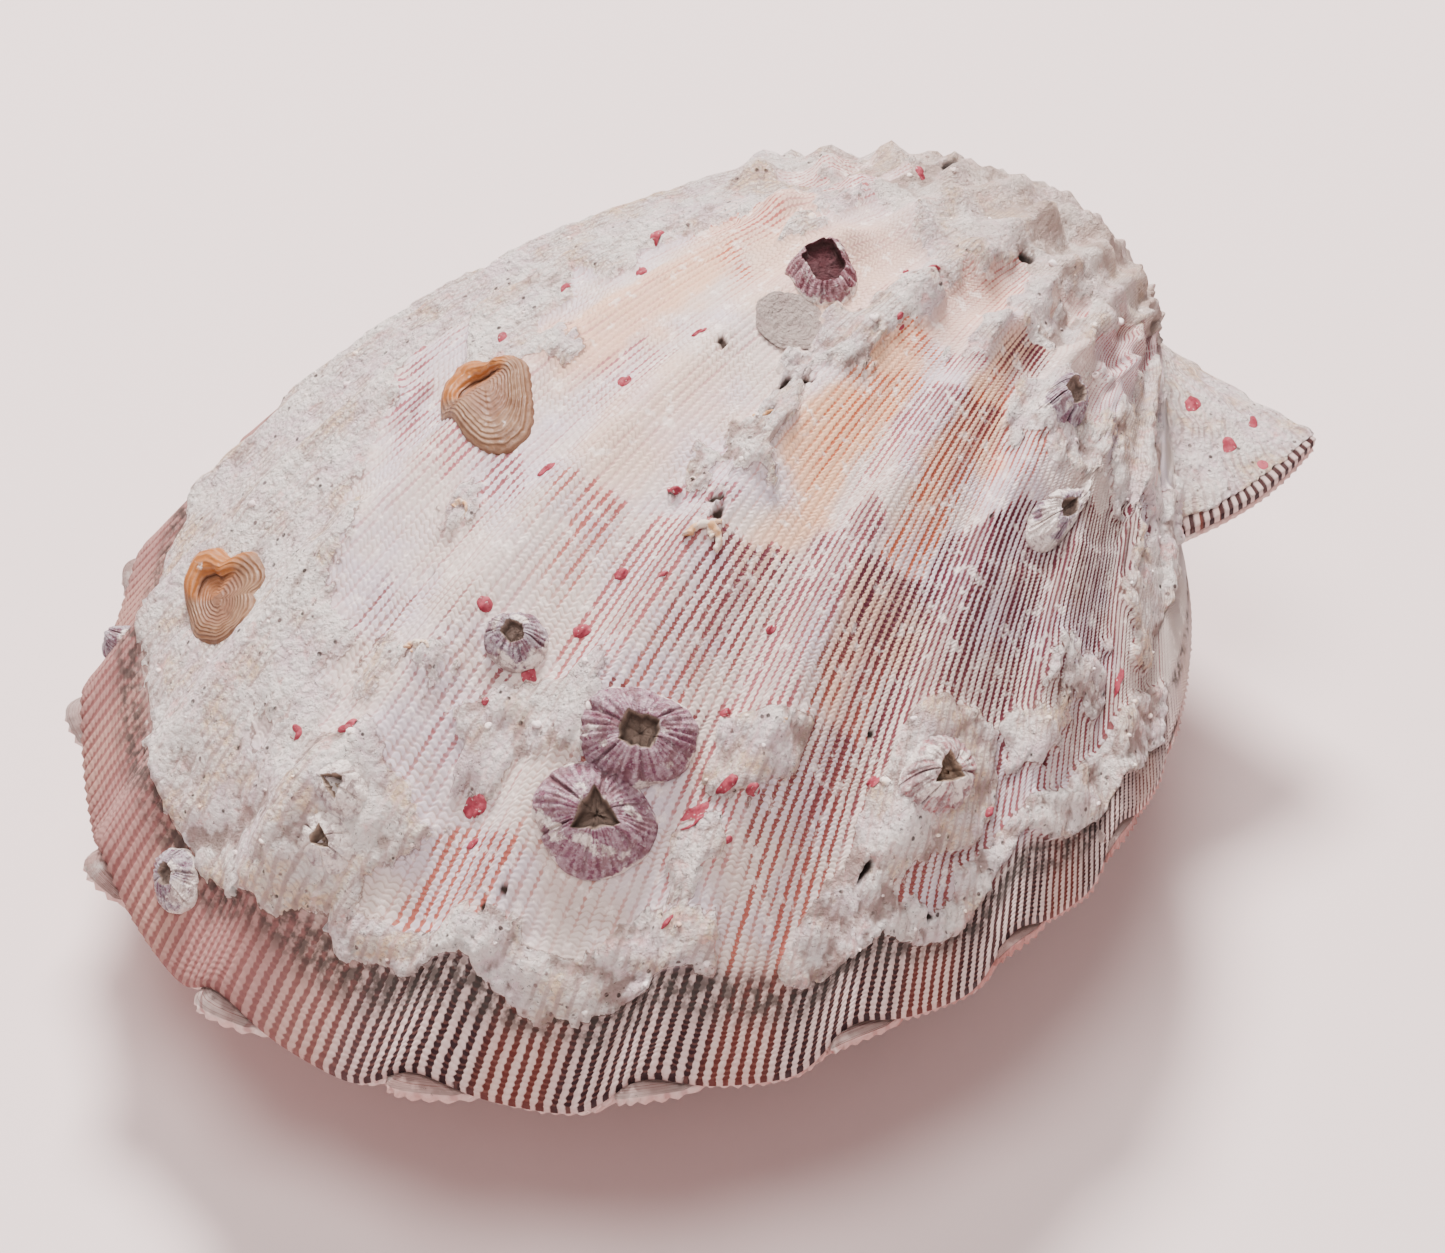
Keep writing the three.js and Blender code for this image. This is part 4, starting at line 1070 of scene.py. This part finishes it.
def worm_material():
    p = Paint("worm_lime")
    colour = p.coats(WORM_ORANGE, (p.step(p.noise(1.8, 3.0), 0.4, 0.6), WORM_PALE))
    return p.finish(colour, p.bump(p.noise(0.35, 4.0), 0.12, 0.7), 0.8, 0.55, 0.85)


def floor_material():
    p = Paint("floor_paper")
    colour = p.coats(FLOOR_PALE, (p.noise(60.0, 1.0), FLOOR_PALER))
    p.put(p.shader.inputs["Base Color"], colour)
    p.shader.inputs["Roughness"].default_value = 0.88
    return p.material


def upper_height(fan, growth):
    """The upper valve's visual surface at any places, and where it is crusty."""
    bare = bare_point(UPPER, fan, growth)
    lift, crusty, *_ = upper_relief(rib_at(fan) * RIBLETS, fan, growth, bare)
    return bare + outward(UPPER, fan, growth) * lift[..., None], crusty


class Seat:
    """A place on the upper valve, with x across it and y towards the beak, in millimetres."""

    def __init__(self, fan, growth, turn=0.0):
        self.fan, self.growth, self.turn = fan, growth, math.radians(turn)
        f, g = np.array(fan), np.array(growth)
        across = bare_point(UPPER, f + 0.5, g, 0) - bare_point(UPPER, f - 0.5, g, 0)
        along = bare_point(UPPER, f, g + 0.005, 0) - bare_point(UPPER, f, g - 0.005, 0)
        self.per_fan = float(np.linalg.norm(across))
        self.per_growth = float(np.linalg.norm(along)) / 0.01

    def points(self, x, y, lift, sink=0.0):
        """Points over the surface. Sink evens out the crust and riblets below the piece."""
        c, s = math.cos(self.turn), math.sin(self.turn)
        fan = self.fan + (x * c - y * s) / self.per_fan
        growth = np.clip(self.growth - (x * s + y * c) / self.per_growth, 0.02, 0.999)
        bare = bare_point(UPPER, fan, growth) + outward(UPPER, fan, growth) * 0.5
        ground = mix(upper_height(fan, growth)[0], bare, sink)
        return rested(ground + outward(UPPER, fan, growth) * np.asarray(lift)[..., None])

    def middle(self, lift, sink=0.0):
        return self.points(np.zeros(1), np.zeros(1), np.array([lift]), sink)


def ring_mesh(name, seat, x, y, lift, values, material, slot):
    """A piece from rings around a seat. Rows are rings, columns go round and close."""
    skin = Skin()
    caps = []
    for row in (0, -1):
        centre = seat.points(*(part[row].mean(keepdims=True) for part in (x, y, lift)))
        caps.append((row, centre, values[row, 0]))
    skin.rings(seat.points(x, y, lift, 0.6), values, caps)
    piece = skin.build(name + "_form", material, slot)
    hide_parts(name)


def round_about(columns):
    return np.linspace(0, 2 * math.pi, columns, endpoint=False)


def on_circle(angle, third=0.0):
    return np.stack([np.cos(angle), np.sin(angle), 0 * angle + third], -1)


def polygon(angle, corners):
    """Radius of a polygon with softened corners, against its corner radius."""
    sector = 2 * math.pi / corners
    off = np.mod(angle, sector) - sector / 2
    return mix(math.cos(sector / 2) / np.cos(off), 1, 0.18)


def barnacle(seed, walls, name, fan, growth, radius, height, mouth, corners, lean, turn, kind):
    """A barnacle, with crust grown over it as far as its kind of wall says."""
    buried = WALLS[kind][3]
    ribs = BARNACLE_RIBS if radius > LARGE_BARNACLE else SMALL_BARNACLE_RIBS
    angle = round_about(BARNACLE_COLUMNS)
    share, rise, inside = (np.array(column)[:, None] for column in zip(*BARNACLE_PROFILE))
    circle = on_circle(angle, seed)
    opening = mouth * polygon(angle + math.radians(turn), corners)
    opening = opening * (1 + 0.10 * noise(circle, 0.35, 89 + seed))
    outline = 1 + 0.09 * noise(circle, 0.8, 90 + seed) + 0.05 * noise(circle, 0.3, 91 + seed)
    plate = 6 * angle / (2 * math.pi) + 0.3 * seed
    seam = smooth(np.abs(np.mod(plate, 1) - 0.5), 0.42, 0.5)
    r = mix(radius * outline, opening, share)
    phase = ribs * angle / (2 * math.pi) + 0.9 * noise(circle, 0.45, 93 + seed)
    power = 0.75 + 0.5 * noise(circle, 0.25, 94 + seed)
    shut = smooth(share, 1.0, 0.6) * smooth(share, -0.02, 0.1)
    wave = cord_profile(phase) * power * (1 - buried)
    r = r * (1 + 0.03 * wave * shut)
    body = mix(1, 0.90, seam) * (1 + 0.14 * noise(circle, 0.5, 95 + seed) * smooth(share, 0.3, 1.0))
    x, y = r * np.cos(angle), r * np.sin(angle) + lean * smooth(share, 0.0, 1.0)
    places = np.stack([x, y, height * rise + 0 * x], -1)
    lift = height * rise * body + 0.15 * (wave - 0.4) * shut - 0.35 * seam * shut
    lift = lift + 0.22 * fractal(places, 1.3, 3, 96 + seed) * smooth(share, 0.0, 0.2)
    chalk = 0.20 + 0.5 * buried + 0.34 * noise(places, 2.2, 97 + seed)
    chalk = chalk + 0.25 * smooth(share, 0.15, 0.0)
    values = channels(phase, share, 0, seam * shut, inside, chalk)
    ring_mesh(name, Seat(fan, growth), x, y, lift, values, walls[kind], "barnacle_wall")


def cup_shell(material, name, fan, growth, length, width, height, turn, lip_at, run_out):
    """An oval cup shell with one raised lip."""
    angle = round_about(CUP_COLUMNS)
    share, low, high = (np.array(column)[:, None] for column in zip(*CUP_PROFILE))
    off = np.radians(lip_at - turn)
    lip = smooth(np.cos(angle - off), 0.05, 0.75)
    circle = on_circle(angle, growth * 9)
    outline = 1 + 0.06 * noise(circle, 0.8, 101) + 0.04 * noise(circle, 0.3, 103)
    towards_beak = np.radians(95 - turn)
    outline = outline + run_out * smooth(np.cos(angle - towards_beak), 0.86, 1.0)
    inward = 0.10 * lip * smooth(share, 0.92, 0.70) * smooth(share, 0.45, 0.62)
    reach = (share - inward) * outline
    x, y = length * reach * np.cos(angle), width * reach * np.sin(angle)
    places = np.stack([x, y, 0 * x], -1)
    ripple = 0.04 * np.sin(share * 75) * smooth(share, 1.0, 0.9)
    lift = height * mix(low, high, lip) + ripple + 0.10 * fractal(places, 2.0, 3, 105)
    # Painted shade in the crease inside the raised lip.
    crevice_shade = lip * smooth(share, 0.62, 0.56) * smooth(share, 0.42, 0.52)
    middle = np.exp(-((np.cos(angle - off) - 1) ** 2) / 0.004)
    gap = middle * smooth(share, 0.58, 0.66) * smooth(share, 0.84, 0.76)
    chalk = 0.12 + 0.30 * noise(places, 2.5, 107) + 0.6 * gap
    values = channels(0, share, lip, smooth(share, 0.62, 0.45), crevice_shade, chalk)
    ring_mesh(name, Seat(fan, growth, turn), x, y, lift, values, material, "cup_wall")


def disc_rings(radius, columns, rings):
    """x and y of the rings of a round disc, and the share of its radius that each is out."""
    angle = round_about(columns)
    share = np.linspace(1, 0.12, rings)[:, None]
    return radius * share * np.cos(angle), radius * share * np.sin(angle), share + 0 * angle


def algae(material):
    """Every patch of red algae, in one piece."""
    skin = Skin()
    for number, (fan, growth, size) in enumerate(SPOTS):
        x, y, share = disc_rings(size / 2, 20, 6)
        lift = 0.28 * np.sqrt(np.clip(1 - share**2, 0, 1)) - 0.05
        ragged = 1 + 0.22 * noise(np.stack([x, y, 0 * x + number], -1) / size, 0.35, 111)
        seat = Seat(fan, growth)
        caps = [(-1, seat.middle(0.23), BLANK)]
        skin.rings(seat.points(x * ragged, y * ragged, lift), BLANK, caps)
    skin.build("algae_spots", material, "crusted_valve")


def worm_tubes(material):
    """Small curled lime tubes left by worms, in one piece."""
    skin = Skin()
    around = round_about(14)
    for fan, growth, length, curl, radius, turn in WORM_TUBES:
        t = np.linspace(0, 1, 28)[:, None]
        heading = 2 * math.pi * curl * t
        step = length / len(t)
        x, y = np.cumsum(np.cos(heading), 0) * step, np.cumsum(np.sin(heading), 0) * step
        thick = radius * (0.55 + 0.45 * t) * (1 + 0.12 * np.sin(40 * t))
        px = x - np.sin(heading) * np.cos(around) * thick
        py = y + np.cos(heading) * np.cos(around) * thick
        lift = (0.6 + np.sin(around)) * thick
        seat = Seat(fan, growth, turn)
        caps = []
        for row in (0, -1):
            end = seat.points(x[row], y[row], lift[row].mean(keepdims=True), 0.5)
            caps.append((row, end, BLANK))
        skin.rings(seat.points(px, py, lift, 0.5), BLANK, caps)
    skin.build("worm_tubes", material, "crusted_valve")


def barnacle_scar(material):
    """The base plate left by a fallen barnacle."""
    fan, growth, radius, rays = SCAR
    x, y, _ = disc_rings(radius, 120, 16)
    out = np.hypot(x, y) / radius
    angle = np.arctan2(y, x)
    outline = 1 + 0.14 * fractal(on_circle(angle), 0.8, 3, 131)
    lift = 0.22 * smooth(out, 1.0, 0.8) - 0.12 * smooth(out, 0.8, 0.5)
    lift = lift + 0.05 * (0.5 + 0.5 * np.cos(rays * angle)) * out
    seat = Seat(fan, growth)
    values = channels(rays * angle / (2 * math.pi), out, 0, 0, 0.25)
    skin = Skin()
    caps = [(-1, seat.middle(0.2, 0.7), BLANK)]
    skin.rings(seat.points(x * outline, y * outline, lift, 0.7), values, caps)
    skin.build("barnacle_scar", material, "crusted_valve")


def unit_ball():
    """Corner directions and faces of a small round ball."""
    work = bmesh.new()
    bmesh.ops.create_icosphere(work, subdivisions=2, radius=1.0)
    points = np.array([vertex.co[:] for vertex in work.verts])
    faces = np.array([[vertex.index for vertex in face.verts] for face in work.faces])
    work.free()
    return points, faces


def crust_grains(material):
    """Loose-looking grains of lime scattered over the crust, in one piece."""
    i = np.arange(GRAIN_COUNT)
    fan = 96 * np.mod(0.618034 * i + 0.2, 1) - 48
    growth = 0.16 + 0.79 * np.sqrt(np.mod(0.754878 * i + 0.4, 1))
    places, crusty = upper_height(fan, growth)
    _, lumpy = crust_cover(fan, growth, bare_point(UPPER, fan, growth))
    chance = np.mod(0.569840 * i, 1)
    beside_ear = (np.abs(fan) > 36) & (growth < 0.55)
    kept = (crusty > 0.6) & (chance < 0.005 + 0.04 * lumpy**1.5) & ~beside_ear
    size = mix(GRAIN_SMALLEST, GRAIN_LARGEST, np.mod(0.8191725 * i, 1) ** 3)
    ball, faces = unit_ball()
    skin = Skin()
    for centre, radius in zip(rested(places[kept]), size[kept]):
        rough = 1 + 0.40 * noise(ball + centre, 0.7, 121)
        squat = ball * rough[:, None] * radius * np.array([1.3, 1.2, 0.8])
        index = skin.add(centre + squat, BLANK)
        skin.faces.append(faces + index[0])
    skin.build("crust_grains", material, "crusted_valve")


def make_floor():
    mesh = bpy.data.meshes.new("floor")
    corners = [(-1, -1, 0), (1, -1, 0), (1, 1, 0), (-1, 1, 0)]
    mesh.from_pydata([[FLOOR_HALF * c for c in corner] for corner in corners], [], [(0, 1, 2, 3)])
    mesh.materials.append(floor_material())
    floor = placed("floor", mesh)


def make_camera():
    a, e = math.radians(CAMERA_AZIMUTH), math.radians(CAMERA_ELEVATION)
    roll = math.radians(CAMERA_ROLL)
    back = Vector((math.sin(a) * math.cos(e), -math.cos(a) * math.cos(e), math.sin(e)))
    right = Vector((math.cos(a), math.sin(a), 0))
    up = back.cross(right)
    x = right * math.cos(roll) + up * math.sin(roll)
    y = up * math.cos(roll) - right * math.sin(roll)
    data = bpy.data.cameras.new("camera")
    data.lens = CAMERA_LENS
    data.sensor_width = 36.0
    camera = placed("camera", data)
    place = (Vector(CAMERA_TARGET) + back * CAMERA_DISTANCE + Vector(HINGE_AT)) * MM
    turn = Matrix((x, y, back)).transposed().to_4x4()
    camera.matrix_world = Matrix.Translation(place) @ turn
    bpy.context.scene.camera = camera


def make_lights():
    for name, place, size, power, colour in LIGHTS:
        data = bpy.data.lights.new(name, "AREA")
        data.shape = "DISK"
        data.size, data.energy, data.color = size, power, colour
        light = placed(name, data)
        light.location = place
        light.rotation_mode = "QUATERNION"
        aim = Vector(place) - Vector(LIGHTS_AIM)
        light.rotation_quaternion = aim.to_track_quat("Z", "Y")
    world = bpy.data.worlds.new("studio")
    world.use_nodes = True
    background = world.node_tree.nodes["Background"]
    background.inputs["Color"].default_value = WORLD_COLOUR
    background.inputs["Strength"].default_value = WORLD_POWER
    bpy.context.scene.world = world


def main():
    make_camera()
    make_lights()
    make_floor()
    upper = valve_mesh(UPPER, upper_relief, UPPER_ZONES)
    upper = upper.build("upper_shell", upper_material(), "crusted_valve")
    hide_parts("upper_valve")
    lower = valve_mesh(LOWER, lower_relief, LOWER_ZONES)
    lower = lower.build("lower_shell", lower_material(), "clean_valve")
    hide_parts("lower_valve")
    crust_grains(grain_material())
    algae(algae_material())
    worm_tubes(worm_material())
    walls = {kind: barnacle_material("barnacle_" + kind, *WALLS[kind][:3]) for kind in WALLS}
    for seed, facts in enumerate(BARNACLES):
        barnacle(seed, walls, *facts)
    barnacle_scar(walls["plate"])
    horn = cup_material()
    for facts in CUP_SHELLS:
        cup_shell(horn, *facts)


main()
